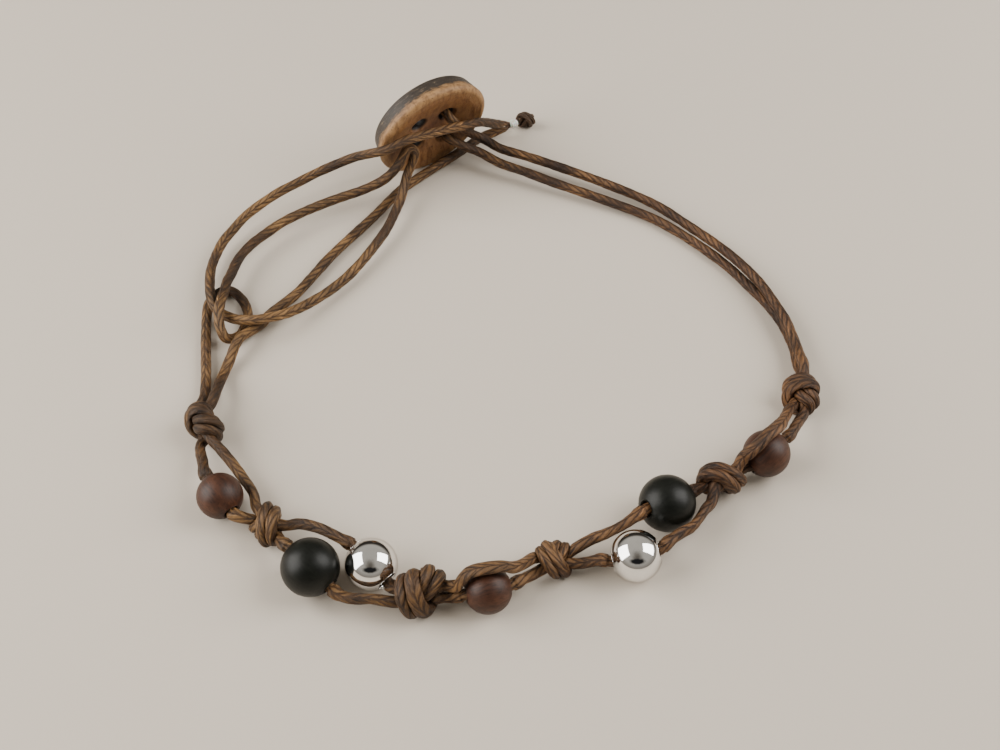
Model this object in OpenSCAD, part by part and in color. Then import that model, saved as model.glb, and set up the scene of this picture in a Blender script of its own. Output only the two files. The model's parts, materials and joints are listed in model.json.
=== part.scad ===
// Wooden bead bracelet: one waxed cord folded through a coconut button, run as two strands
// with six knots and seven beads, and closed by a loop of the cord round the button.
// It lies on the surface z = 0, seen from -Y. Lengths are in millimetres, angles in degrees.

/* [Cord] */
// Diameter of the braided cord
cord_d = 1.2; // [1:0.05:1.25]
// Free air left between pieces that touch on the real bracelet
air = 0.1; // [0.05:0.01:0.15]
// Sides of the cord's tubes
cord_sides = 8; // [8:1:12]

/* [Beads] */
// Diameter of a black wooden bead
black_d = 6; // [5.6:0.1:6]
// Diameter of a silver-coloured bead
silver_d = 5.4; // [5:0.1:5.4]
// Diameter of a brown wooden bead
brown_d = 4.9; // [4.6:0.1:5]
// Bore of a wooden bead
wood_bore = 1.6; // [1.5:0.1:1.8]
// Bore of a silver-coloured bead
silver_bore = 2.2; // [1.6:0.1:2.4]

/* [Button] */
// Diameter of the button
button_d = 15.2; // [14.6:0.1:15.4]
// Thickness of the button at its rim
button_t = 3; // [2.6:0.1:3.2]
// Depth of the dish in the button's face
dish_depth = 1; // [0.6:0.1:1.2]
// Diameter of the dish at the button's face
dish_d = 12; // [10:0.2:12]
// Side of the square on which the four holes stand
hole_square = 4; // [3.8:0.1:4.2]
// Diameter of a hole
hole_d = 1.9; // [1.8:0.1:2.2]

/* [Hidden] */

cord_r = cord_d / 2;
cord_colour = [0.42, 0.29, 0.17];

// The places below are measured from a point beside the middle of the bracelet
to_middle = [0.46, 0.28, 0];

// Vector helpers
function unit(v) = v / norm(v);
function flat_turn(v, a) = [v.x * cos(a) - v.y * sin(a), v.x * sin(a) + v.y * cos(a), v.z];
function along_heading(a, pitch) = [cos(a) * cos(pitch), sin(a) * cos(pitch), sin(pitch)];

// A smooth line through points: each span is cut into steps by a Catmull-Rom curve whose
// pace follows the square root of the distance between points, so that it never overshoots
function between(a, b, ta, tb, t) = a * (tb - t) / (tb - ta) + b * (t - ta) / (tb - ta);
function span(a, b, c, d, u) = let (
    t1 = sqrt(norm(b - a)), t2 = t1 + sqrt(norm(c - b)), t3 = t2 + sqrt(norm(d - c)),
    t = t1 + (t2 - t1) * u,
    ab = between(a, b, 0, t1, t), bc = between(b, c, t1, t2, t), cd = between(c, d, t2, t3, t))
    between(between(ab, bc, 0, t2, t), between(bc, cd, t1, t3, t), t1, t2, t);
function smooth(p, steps) = let (n = len(p) - 1) concat(
    [for (i = [0 : n - 1], k = [0 : steps - 1])
        span(i > 0 ? p[i - 1] : 2 * p[0] - p[1], p[i], p[i + 1],
            i < n - 1 ? p[i + 2] : 2 * p[n] - p[n - 1], k / steps)],
    [p[n]]);

// Sideways directions carried along a line without twist
function tangent(p, i) = unit(p[min(i + 1, len(p) - 1)] - p[max(i - 1, 0)]);
function side_of(t, v) = unit(v - (v * t) * t);
function first_side(t) = side_of(t, abs(t.z) < 0.9 ? [0, 0, 1] : [1, 0, 0]);
function sides_along(p) = [for (i = 0, s = first_side(tangent(p, 0)); i < len(p);
    i = i + 1, s = side_of(tangent(p, min(i, len(p) - 1)), s)) s];

// A round tube along a line, as one closed solid; r is one radius or a list, one for each
// point. An end whose direction is given is cut square to that direction.
module tube(p, r, first_way = undef, last_way = undef) {
    n = len(p);
    s = sides_along(p);
    function radius(i) = is_list(r) ? r[i] : r;
    function way(i) = i == 0 && !is_undef(first_way) ? first_way
        : i == n - 1 && !is_undef(last_way) ? last_way : tangent(p, i);
    ring_points = [for (i = [0 : n - 1]) let (t = way(i), u = side_of(t, s[i]), v = cross(t, u))
        for (k = [0 : cord_sides - 1]) let (a = 360 * k / cord_sides)
            p[i] + radius(i) * (cos(a) * u + sin(a) * v)];
    wall = [for (i = [0 : n - 2], k = [0 : cord_sides - 1]) let (m = (k + 1) % cord_sides)
        [i * cord_sides + k, (i + 1) * cord_sides + k, (i + 1) * cord_sides + m, i * cord_sides + m]];
    ends = [[for (k = [0 : cord_sides - 1]) k],
        [for (k = [cord_sides - 1 : -1 : 0]) (n - 1) * cord_sides + k]];
    translate(to_middle) polyhedron(ring_points, concat(wall, ends), convexity = 10);
}

// Beads: [x, y, heading of the bore, pitch of the bore, diameter]
black_left = [-19.6, -33.3, -41, -16, black_d];
silver_left = [-13.5, -32.8, -45, -14, silver_d];
brown_left = [-29.9, -24.3, -52, -10, brown_d];
brown_middle = [-1.7, -35.6, 12, 0, brown_d];
silver_right = [13.3, -31.8, 8, 14, silver_d];
black_right = [16.9, -25.6, 29, -18, black_d];
brown_right = [28.1, -18.9, 34, 18, brown_d + 0.2];
function bead_centre(b) = [b[0], b[1], b[4] / 2];
function bead_axis(b) = along_heading(b[2], b[3]);

// The strand through a bead runs straight along its bore
function through(b) = [for (k = [-0.85, 0, 0.85]) bead_centre(b) + k * b[4] / 2 * bead_axis(b)];

module bead(b, bore, colour) {
    color(colour)
        translate(to_middle + bead_centre(b))
            rotate([0, 90 - b[3], b[2]])
                difference() {
                    sphere(d = b[4], $fn = 48);
                    cylinder(d = bore, h = b[4] + 1, center = true, $fn = 32);
                }
}

// Knots: [x, y, heading, roll, size of the knot's cord, twist of the pair on its way out at -X
// and at +X]. The pair of strands is tied as one. A knot stands on the surface, so its height
// follows from its size.
knots = [
    [0, 0, 0, 0, 1, 0, 0],
    [-32.9, -14.6, -84, 270, 0.92, -55, -45],
    [-24.6, -27.5, -31, 60, 0.87, -50, -40],
    [-8.4, -35.9, 3, 240, 1.06, -45, 0],
    [5.2, -31.8, 14, 190, 0.82, 25, 10],
    [23.1, -22, 46, 130, 0.95, 30, -20],
    [32.9, -10.3, 78, 345, 0.85, 25, -45],
    [2.9, 36.8, 30, 90, 0.5, 0, 0],
];
last_knot = 7;             // the small knot in the two ends of the cord

// Half of the knot, from its middle to one tail: [x, y, z of the pair's centre, then the
// direction from one strand of the pair to the other], all in sizes of the knot's cord.
// The other half is this one turned half a turn about Y.
knot_half = [
    [0, 1.6, 0, 1, 0, -0.1],
    [0.3, 1.5, 0.7, 1, 0.1, -0.1],
    [0.6, 1.1, 1.3, 1, 0.1, -0.1],
    [0.9, 0.4, 1.6, 1, 0.1, -0.2],
    [1.2, -0.5, 1.6, 1, 0.1, -0.2],
    [1.3, -1.2, 1.3, 0.9, 0.2, -0.3],
    [1.3, -1.7, 0.7, 0.8, 0.4, -0.4],
    [1.1, -1.7, -0.1, 0.7, 0.6, -0.4],
    [0.7, -1.2, -0.5, 0.6, 0.8, -0.1],
    [0.1, -0.6, -0.6, 0.5, 0.8, 0],
    [-0.6, -0.2, -0.5, 0.3, 0.9, 0],
    [-1.3, 0, -0.4, 0, 1, 0],
    [-1.8, 0, -0.3, 0, 1, 0],
    [-2.2, 0, -0.2, 0, 1, 0],
];
half_rows = len(knot_half);
pair_gap = 1.04;           // distance between the two strands, in sizes of the knot's cord
knot_cord = 0.9;           // diameter of a strand inside the knot, in sizes of the knot's cord
tail_air = 1.5 * air;      // between the two strands where they leave a knot
end_r = 0.24;              // radius of the cord's two ends
twist_from = 1.3;          // the pair twists from here on
tail_from = 1.8;           // a strand grows from its knotted size to its own from here on
tail_end = 2.2;

// Row i of the whole knot, from the tail at -X to the tail at +X
function knot_row(i) = let (k = abs(i - half_rows + 1), h = knot_half[k])
    i < half_rows ? h : [-h[0], h[1], -h[2], h[3], -h[4], h[5]];
knot_sections = [for (i = [0 : 2 * half_rows - 2]) knot_row(i)];
tail_rows = 4;
tail_gap = 2.6 * air;      // from the end of a knot's tail to the strand that goes on from it
function tail_r(k) = k == last_knot ? end_r : cord_r;

// The line of strand s (1 or -1) in a knot, in the bracelet's frame
function rolled(v, a) = [v.x, v.y * cos(a) - v.z * sin(a), v.y * sin(a) + v.z * cos(a)];
function part_way(x, from) = min(1, max(0, (abs(x) - from) / (tail_end - from)));
function own_line(k, s) = let (m = knot_sections, n = len(m) - 1, q = knots[k])
    [for (i = [0 : n]) let (
        c = [m[i][0], m[i][1], m[i][2]],
        t = unit([for (j = [0 : 2]) m[min(i + 1, n)][j] - m[max(i - 1, 0)][j]]),
        out = i < tail_rows || i > n - tail_rows ? 1 : 0,
        twisted = out * part_way(c.x, twist_from),
        e = rolled(side_of(t, [m[i][3], m[i][4], m[i][5]]), twisted * (c.x < 0 ? q[5] : q[6])),
        w = pair_gap * (1 - twisted) + (2 * tail_r(k) + tail_air) / q[4] * twisted)
        q[4] * rolled(c + s * w / 2 * e, q[3])];
function knot_radii(k) = [for (r = knot_sections) let (grown = part_way(r[0], tail_from))
    knot_cord * knots[k][4] / 2 * (1 - grown) + tail_r(k) * grown];
function knot_height(k) = let (r = knot_radii(k))
    -min([for (s = [-1, 1]) let (p = own_line(k, s)) each [for (i = [0 : len(p) - 1]) p[i].z - r[i]]]);
function knot_line(k, s) = let (q = knots[k], at = [q[0], q[1], knot_height(k)])
    [for (p = own_line(k, s)) at + flat_turn(p, q[2])];

// Where strand s goes on from knot k, past its -X tail (end 0) or +X tail (end 1): the
// tail's end, and the strand's own end beyond the gap
function tail_points(k, s, end) = let (p = knot_line(k, s), n = len(p) - 1,
    a = end == 0 ? p[0] : p[n], b = end == 0 ? p[1] : p[n - 1])
    [a, a + tail_gap * unit(a - b)];

module knot(k) {
    for (s = [-1, 1])
        tube(knot_line(k, s), knot_radii(k));
}

// A strand runs through hand-chosen points. At a knot its points begin with the tail's end,
// and the gap from there to the strand's own end stays empty.
strand_steps = 2;          // pieces of each span between two points
module strand(p, after_knot = true, before_knot = false) {
    n = len(p) - 1;
    line = smooth(p, strand_steps);
    first = after_knot ? strand_steps : 0;
    last = len(line) - 1 - (before_knot ? strand_steps : 0);
    color(cord_colour)
        tube([for (i = [first : last]) line[i]], cord_r,
            after_knot ? unit(p[1] - p[0]) : undef, before_knot ? unit(p[n] - p[n - 1]) : undef);
}
// One of the cord's two ends: a strand whose last rings narrow to a thin end
thin_end = 0.33;
thin_rings = 4;
module tapered_strand(p, after_knot) {
    line = smooth(p, strand_steps);
    first = after_knot ? strand_steps : 0;
    last = len(line) - 1;
    thinner = (cord_r - thin_end) / thin_rings;
    color(cord_colour)
        tube([for (i = [first : last]) line[i]],
            [for (i = [first : last]) cord_r - thinner * max(0, i - last + thin_rings)],
            after_knot ? unit(p[1] - p[0]) : undef);
}
function reversed(p) = [for (i = [len(p) - 1 : -1 : 0]) p[i]];
// From strand sa of knot a, by way of the points given, to strand sb of the next knot
function between_knots(a, sa, b, sb, way) =
    concat(tail_points(a, sa, 1), way, reversed(tail_points(b, sb, 0)));

module middle_strand(a, sa, b, sb, way) {
    strand(between_knots(a, sa, b, sb, way), true, true);
}
module strand_2_1_bead() {
    middle_strand(1, -1, 2, -1, concat(
        [[-32.8, -18.4, 2], [-32.3, -19.9, 2.5], [-31.8, -21.6, 2.9]],
        through(brown_left),
        [[-28.1, -26.6, 2.3]]));
}
module strand_2_1_inner() {
    middle_strand(1, 1, 2, 1,
        [[-30.9, -17.9, 2.4], [-29.4, -19.6, 2.1], [-27.9, -21.5, 1.7], [-26.5, -23.7, 1.9]]);
}
module strand_3_2_black() {
    middle_strand(2, 1, 3, 1, concat(
        [[-22.8, -30.3, 2.9], [-22.3, -31, 3.6]],
        through(black_left),
        [[-16.7, -35.9, 2.1], [-15.2, -36.5, 2.3], [-13.3, -36.6, 2.4]]));
}
module strand_3_2_silver() {
    middle_strand(2, -1, 3, -1, concat(
        [[-21.4, -28, 2.8], [-19.4, -28.6, 3.1], [-17.6, -29.6, 3.3]],
        through(silver_left),
        [[-11.4, -35, 2.1]]));
}
module strand_4_3_bead() {
    middle_strand(3, -1, 4, 1, concat(
        through(brown_middle),
        [[1.8, -34.1, 2]]));
}
module strand_4_3_over() {
    middle_strand(3, 1, 4, -1,
        [[-4.8, -35.7, 3.3], [-4.4, -35.6, 4.1], [-3.5, -35.3, 5.3], [-1.8, -35.1, 5.8], [-0.2, -34.6, 5.3],
        [0.7, -34.3, 4.6], [1.6, -33.6, 3.9]]);
}
module strand_5_4_silver() {
    middle_strand(4, -1, 5, 1, concat(
        [[8.6, -31.9, 1.7], [9.7, -31.9, 2.1]],
        through(silver_right),
        [[16.8, -30.4, 3.4], [18, -29.4, 3.2], [19.2, -28.6, 3.1], [20.1, -27.4, 2.9], [20.9, -26.1, 2.7],
        [21.6, -25.1, 2.3]]));
}
module strand_5_4_black() {
    middle_strand(4, 1, 5, -1, concat(
        [[8.9, -29.8, 2.7], [10.4, -29.3, 3], [12.2, -28.5, 3.4], [13.4, -27.7, 3.7]],
        through(black_right),
        [[19.9, -23.4, 2.1]]));
}
module strand_6_5_bead() {
    middle_strand(5, 1, 6, -1, concat(
        through(brown_right),
        [[30.8, -16.9, 3.3], [31.6, -15.5, 2.8], [32.3, -14.2, 2.1]]));
}
module strand_6_5_over() {
    middle_strand(5, -1, 6, 1,
        [[25.4, -20.2, 3.8], [25.9, -20.3, 4.8], [26.7, -20, 5.7], [27.7, -19, 6.1],
        [28.7, -18, 5.8], [29.6, -16.6, 4.9], [30.6, -14.5, 3.5], [31.2, -13.2, 2.8]]);
}

// The right strands: the outer one lies on the inner one as they near knot 6
module right_outer_strand() {
    strand(concat(tail_points(6, 1, 1),
        [[33.7, -6.8, 2.9], [33.6, -5.5, 2.5], [33.5, -3.5, 2], [32.8, 0.3, 2], [31.8, 3.3, 1.95],
        [30.3, 6.9, 1.85], [27.6, 11.2, 1.7], [23.1, 16.8, 1.1], [18.8, 21.1, 0.9],
        [12.5, 24.7, 1.2], [6.1, 27.6, 1.6], [2.7, 28.9, 1.9], [-0.5, 30, 2.2], [-2, 30.8, 2.6],
        [-3.2, 31.1, 3.2], [-4.1, 30.5, 4.2], [-4.8, 29.9, 5.3]],
        reversed(hole_way(hole_upper))));
}
module right_inner_strand() {
    strand(concat(tail_points(6, -1, 1),
        [[33.7, -6.9, 1.1], [33.6, -5.2, 0.7], [33.5, -2.5, 0.65], [32.6, 1.3, 0.65], [31.4, 4, 0.65],
        [29.4, 7.2, 0.65], [26.9, 10.8, 0.65], [23, 15, 0.65], [18.7, 18.6, 0.7], [12.4, 21.8, 1],
        [6, 24.6, 1.4], [2.7, 26.1, 1.7], [-0.5, 27.4, 2], [-3.1, 28.9, 2.5], [-4.6, 29.1, 3.1],
        [-5.6, 29.2, 3.6]],
        reversed(hole_way(hole_lower))));
}

// The cord's end from knot 1 up the left side, once round the small loop, and on to the button
module small_loop_strand() {
    strand(concat(tail_points(1, 1, 0),
        [[-33.6, -10.5, 1.4], [-33.7, -9, 0.9], [-33.9, -7.3, 0.65], [-34.7, -1.3, 0.65], [-35.1, 2.6, 0.65],
        [-35.1, 4.2, 0.65], [-34.6, 5.5, 0.65], [-33.8, 6.3, 0.65], [-32.7, 6.4, 0.65],
        [-31.7, 5.6, 0.65], [-30.8, 4.3, 0.65], [-30.3, 2.9, 0.65], [-30.2, 1.9, 0.65],
        [-30.4, 0.7, 0.65], [-30.8, -0.5, 0.65], [-31.6, -1.2, 0.8], [-32.3, -1.5, 1.3],
        [-32.7, -1.1, 2], [-33, -0.2, 2.7], [-33.1, 1, 3.1], [-33.1, 2.4, 3.1], [-33, 4.2, 2.7],
        [-32.9, 6.4, 2.4], [-32.5, 7.9, 2.3]]));
}
module spare_loop_strand() {
    strand([[-32.5, 8.1, 2.3], [-31.9, 10.4, 2.3], [-30.7, 12.6, 2.3], [-29.1, 14.5, 2.3],
        [-27.4, 16.3, 2.3], [-25.3, 17.9, 2.3], [-22.9, 19.3, 2.4], [-20.3, 20.5, 2.6],
        [-17.8, 21.3, 3], [-15.2, 22.1, 3.9], [-13.9, 22.7, 4.8], [-13, 23.4, 5.7],
        [-12.5, 24, 6.4], [-12.1, 24.5, 6.9], [-11.6, 24.9, 6.8], [-11.2, 24.9, 6.1], [-11.5, 24.2, 5],
        [-12.1, 23.4, 3.9], [-12.5, 22.4, 3], [-12.8, 21.1, 2.3], [-13.5, 18.8, 1.9],
        [-14.5, 15.9, 1.6], [-15.8, 13.3, 1.4], [-17.3, 10.7, 1.2], [-18.8, 8.4, 1.1]], false);
}
module closing_front_strand() {
    tapered_strand([[-18.95, 8.2, 1.1], [-20.6, 6.3, 1.1], [-22.3, 4.5, 1.3], [-24, 2.9, 1.6],
        [-25.6, 1.5, 2.1], [-27.2, 0.6, 2.5], [-28.3, 0.1, 2.7], [-29.8, 0.2, 2.5], [-31.1, 0.7, 2],
        [-32.3, 1.4, 1.7], [-33.5, 2.2, 1.7], [-34.2, 3.1, 1.9], [-34.7, 4.5, 2], [-35.1, 6.7, 1.8],
        [-35.3, 8.6, 1.6], [-35.2, 10.2, 1.6], [-34.4, 13.6, 1.7], [-33.3, 15.6, 1.9],
        [-32, 17.6, 2.2], [-28.4, 20.7, 3], [-25.9, 22, 3.6], [-23.4, 23, 4.4], [-20.7, 23.6, 5.4],
        [-18.5, 23.7, 6.4], [-16.6, 23.2, 7.4], [-15.3, 22.8, 8.1], [-14.1, 22.6, 8.7], [-13, 23, 9.1],
        [-11.7, 23.8, 9.2], [-10.4, 24.7, 8.9], [-8, 26, 8.6], [-6.1, 26.9, 8.4], [-4.9, 27.9, 7.9],
        [-3.7, 29.3, 7.1], [-2.8, 30.7, 6], [-2.1, 32, 4.8], [-1.2, 33.4, 3.4], [-0.4, 34.4, 2.5],
        [0.2, 35.1, 2]], false);
}
module closing_back_strand() {
    tapered_strand(concat(tail_points(1, -1, 0),
        [[-32.2, -10.3, 2.1], [-32.1, -8.2, 1.4], [-31.9, -6.2, 0.8], [-31.4, -4.4, 1.1],
        [-31, -3.1, 1.6], [-30.5, -1.9, 1.8], [-29.8, -0.9, 1.5], [-29.1, 0.2, 1], [-28.4, 1.3, 0.7],
        [-27.7, 2.6, 0.7], [-24.9, 5.9, 0.65], [-23.3, 8.5, 0.65], [-21.1, 12.3, 0.65],
        [-16.5, 18.8, 0.65], [-13.1, 23.9, 0.65], [-12, 25, 0.7], [-10.8, 26.1, 0.8],
        [-9.5, 27.1, 1], [-8.3, 28.2, 1.1], [-6.6, 29.6, 1.2], [-4.9, 31.3, 1.2], [-3.4, 33, 1.1],
        [-2.3, 33.9, 1], [-1.4, 34.4, 1], [-0.6, 34.7, 1.05], [0.2, 34.9, 1.15]]), true);
}

// The button: its profile is [radius, height over the face's plane], turned about its axis
button_x = -8.7;
button_y = 27.5;
button_heading = -57;      // the way its face looks, as seen from above
button_lean = 15;          // how far the face looks down
rim_round = 0.6;
rim_step = 0.05;           // the dish's edge lies this far below the rim's top
back_round = 0.5;
back_step = 0.5;           // the back's radius is this much less than the rim's
dish_points = 5;
function arc(x, y, r, from, to) = [for (a = [from : -30 : to]) [x + r * cos(a), y + r * sin(a)]];
button_profile = concat(
    [for (i = [0 : dish_points]) let (x = i / dish_points)
        [x * dish_d / 2, -dish_depth * (1 - x * x) - rim_step]],
    arc(button_d / 2 - rim_round, -rim_round, rim_round, 120, 0),
    arc(button_d / 2 - back_step - back_round, -button_t + back_round, back_round, 0, -90),
    [[0, -button_t]]);
// Height of the face's centre that puts the button's lowest edge on the surface
button_height = max([for (q = button_profile) q[0] * cos(button_lean) + q[1] * sin(button_lean)]);
button_at = [button_x, button_y, button_height];
face_side = along_heading(button_heading + 90, 0);
face_up = along_heading(button_heading, 90 - button_lean);
face_out = along_heading(button_heading, -button_lean);
// A place on the button: along its face sideways and upwards, then out from the face's plane
function on_button(p) = button_at + p[0] * face_side + p[1] * face_up + p[2] * face_out;

// The four holes stand a little below the middle; the cord's fold is in the two right ones
holes_side = 0.1;
holes_up = -0.6;
hole_upper = [holes_side + hole_square / 2, holes_up + hole_square / 2];
hole_lower = [holes_side + hole_square / 2, holes_up - hole_square / 2];
// The way of a strand out of a hole in the face, from inside the button to the rim
function hole_way(h) = [for (q = h == hole_upper
    ? [[0, 0, -1.2], [0, 0, -0.8], [0.15, -0.2, -0.2], [0.6, -0.8, 0.2], [1.3, -1.9, 0.4]]
    : [[0, 0, -1.2], [0, 0, -0.8], [0.15, -0.1, -0.2], [0.6, -0.4, 0.35]])
    on_button([h[0] + q[0], h[1] + q[1], q[2]])];

module button() {
    color([0.55, 0.4, 0.22])
        translate(to_middle + button_at)
            rotate([0, 90 + button_lean, button_heading])
                difference() {
                    rotate_extrude($fn = 72) polygon(button_profile);
                    for (a = [-1, 1], b = [-1, 1])
                        translate([-holes_up + a * hole_square / 2, holes_side + b * hole_square / 2,
                            -button_t - 1])
                            cylinder(d = hole_d, h = button_t + 2, $fn = 32);
                }
}

// The cord's fold: through the two right holes and across the button's back
fold_out = 0.8;            // how far the fold's centre stands off the back
module button_fold() {
    side = hole_upper[0];
    top = hole_upper[1];
    low = hole_lower[1];
    back = -button_t - fold_out;
    strand([for (q = [[side, top, -1.32], [side, top, -2], [side, top, -2.6], [side, top - 0.1, -3.2],
        [side, top - 0.6, back + 0.05], [side, (top + low) / 2, back], [side, low + 0.6, back + 0.05],
        [side, low + 0.1, -3.2], [side, low, -2.6], [side, low, -2], [side, low, -1.32]]) on_button(q)],
        false);
}

// The binding is a sleeve on the stem of the end knot, which slopes down to the surface
binding_at = [0.7, 35.4, 1.5];
binding_heading = 30;
binding_fall = 10;
binding_length = 1.2;
binding_d = 1.2;
stem_d = 0.5;
module along_binding() {
    translate(to_middle + binding_at) rotate([0, 90 + binding_fall, binding_heading]) children();
}
module binding() {
    color([0.9, 0.9, 0.86])
        along_binding()
            difference() {
                cylinder(d = binding_d, h = binding_length, $fn = 32);
                translate([0, 0, -1]) cylinder(d = stem_d + 2 * air, h = binding_length + 2, $fn = 24);
            }
}
module end_knot() {
    color([0.2, 0.15, 0.11]) {
        along_binding() cylinder(d = stem_d, h = binding_length, $fn = 24);
        knot(last_knot);
    }
}

module knot_1() { color(cord_colour) knot(1); }
module knot_2() { color(cord_colour) knot(2); }
module knot_3() { color(cord_colour) knot(3); }
module knot_4() { color(cord_colour) knot(4); }
module knot_5() { color(cord_colour) knot(5); }
module knot_6() { color(cord_colour) knot(6); }

black_wood = [0.1, 0.1, 0.09];
brown_wood = [0.3, 0.13, 0.07];
silver = [0.75, 0.75, 0.76];
module black_bead_left() { bead(black_left, wood_bore, black_wood); }
module black_bead_right() { bead(black_right, wood_bore, black_wood); }
module silver_bead_left() { bead(silver_left, silver_bore, silver); }
module silver_bead_right() { bead(silver_right, silver_bore, silver); }
module brown_bead_left() { bead(brown_left, wood_bore, brown_wood); }
module brown_bead_middle() { bead(brown_middle, wood_bore, brown_wood); }
module brown_bead_right() { bead(brown_right, wood_bore, brown_wood); }

button();
button_fold();
right_outer_strand();
right_inner_strand();
knot_6();
strand_6_5_bead();
strand_6_5_over();
brown_bead_right();
knot_5();
strand_5_4_black();
strand_5_4_silver();
black_bead_right();
silver_bead_right();
knot_4();
strand_4_3_over();
strand_4_3_bead();
brown_bead_middle();
knot_3();
strand_3_2_silver();
strand_3_2_black();
silver_bead_left();
black_bead_left();
knot_2();
strand_2_1_bead();
strand_2_1_inner();
brown_bead_left();
knot_1();
small_loop_strand();
spare_loop_strand();
closing_front_strand();
closing_back_strand();
binding();
end_knot();
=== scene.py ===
import json
import math

import bpy
import numpy as np
from mathutils import Matrix, Vector

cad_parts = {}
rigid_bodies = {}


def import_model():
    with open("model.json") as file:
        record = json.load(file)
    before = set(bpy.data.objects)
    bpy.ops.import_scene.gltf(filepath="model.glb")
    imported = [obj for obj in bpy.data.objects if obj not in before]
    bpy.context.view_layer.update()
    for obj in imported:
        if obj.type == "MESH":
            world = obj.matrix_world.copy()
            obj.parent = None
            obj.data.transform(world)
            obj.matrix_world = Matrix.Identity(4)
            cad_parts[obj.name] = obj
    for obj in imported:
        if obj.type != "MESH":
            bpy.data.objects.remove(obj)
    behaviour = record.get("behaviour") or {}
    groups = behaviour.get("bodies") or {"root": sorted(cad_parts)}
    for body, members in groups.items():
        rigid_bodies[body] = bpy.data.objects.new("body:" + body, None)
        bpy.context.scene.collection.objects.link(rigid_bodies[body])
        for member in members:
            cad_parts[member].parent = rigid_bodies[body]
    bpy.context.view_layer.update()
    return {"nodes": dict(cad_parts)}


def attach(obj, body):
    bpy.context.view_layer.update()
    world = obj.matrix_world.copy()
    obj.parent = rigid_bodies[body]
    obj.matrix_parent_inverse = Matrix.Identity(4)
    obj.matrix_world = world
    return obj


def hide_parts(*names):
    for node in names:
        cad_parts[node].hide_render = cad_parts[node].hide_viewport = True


# A knotted cord bracelet with round beads and a shell button, lying on a pale table.
# Places are in millimetres, as in part.scad, and are turned into metres when a mesh is made.

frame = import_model()
mm = 0.001
rng = np.random.default_rng(7)
print("stage: frame loaded,", len(frame["nodes"]), "nodes")


view = {
    "place": (-0.04, -106.64, 124.63),   # camera, mm
    "elevation": 51.0,                   # degrees down from level
    "focal": 1400.0,                     # in pixels of a picture 1000 wide
    "pictureWidth": 1000.0,
    "sensorWidth": 36.0,                 # mm
    "clipStart": 0.005,                  # m
}


def makeCamera():
    data = bpy.data.cameras.new("photoCamera")
    data.sensor_fit = "HORIZONTAL"
    data.sensor_width = view["sensorWidth"]
    data.lens = view["sensorWidth"] * view["focal"] / view["pictureWidth"]
    data.clip_start = view["clipStart"]
    data.dof.use_dof = False
    camera = bpy.data.objects.new("photoCamera", data)
    camera.location = Vector(view["place"]) * mm
    camera.rotation_euler = (math.radians(90.0 - view["elevation"]), 0, 0)
    bpy.context.scene.collection.objects.link(camera)
    bpy.context.scene.camera = camera


makeCamera()
print("stage: camera")


def unit(v):
    # the same directions with a length of one
    v = np.asarray(v, float)
    return v / np.maximum(np.linalg.norm(v, axis=-1, keepdims=True), 1e-9)


def heading(turn, pitch):
    # the X direction raised by the pitch and then turned about the upright axis, in degrees
    t, p = math.radians(turn), math.radians(pitch)
    return np.array([math.cos(t) * math.cos(p), math.sin(t) * math.cos(p), math.sin(p)])


def turnedAbout(axis, v, angle):
    # turns arrays of places about X, Y or Z, which are 0, 1 and 2; the angle may be an array too
    a = np.radians(angle)
    i, k = (axis + 1) % 3, (axis + 2) % 3
    out = np.array(v, float)
    out[..., i] = v[..., i] * np.cos(a) - v[..., k] * np.sin(a)
    out[..., k] = v[..., i] * np.sin(a) + v[..., k] * np.cos(a)
    return out


def lengthAlong(line):
    # the way from a line's start to each of its points: the sum of the steps before it
    return np.concatenate([[0], np.cumsum(np.linalg.norm(np.diff(line, axis=0), axis=1))])


def placesAt(s, length, line):
    # the line's places at the lengths s, between its points in proportion
    return np.stack([np.interp(s, length, line[:, i]) for i in range(3)], 1)


def evenAngles(count):
    # a full turn in equal parts
    return np.arange(count) * 2 * math.pi / count


def raysAround(angle, first, second):
    # a ray at each angle is its cosine along one side plus its sine along the other
    return np.cos(angle)[:, None] * first[..., None, :] + np.sin(angle)[:, None] * second[..., None, :]


def levelSide(axis):
    # the level direction across an axis
    return unit(np.cross([0, 0, 1], axis))


def turnedPoints(radius, height, at, axis, side, around):
    # each point is the middle, plus its height along the axis, plus its radius along a ray
    rays = raysAround(evenAngles(around), side, np.cross(axis, side))
    return at + height[:, None, None] * axis + radius[:, :, None] * rays


def gridQuads(rows, columns, closedAlong=False):
    # faces of a grid of points that is wrapped round, and may be closed along too
    i = np.arange(rows if closedAlong else rows - 1)[:, None]
    k = np.arange(columns)[None, :]
    here, ahead = i * columns, (i + 1) % rows * columns
    k2 = (k + 1) % columns
    return np.stack([here + k, ahead + k, ahead + k2, here + k2], -1).reshape(-1, 4)


def endFans(rows, columns):
    # triangles that close such a grid at both ends, round two points that stand after it
    k = np.arange(columns)
    k2, last = (k + 1) % columns, (rows - 1) * columns
    return np.vstack([np.stack([np.full(columns, rows * columns), k, k2], 1),
                      np.stack([np.full(columns, rows * columns + 1), last + k2, last + k], 1)])


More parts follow.
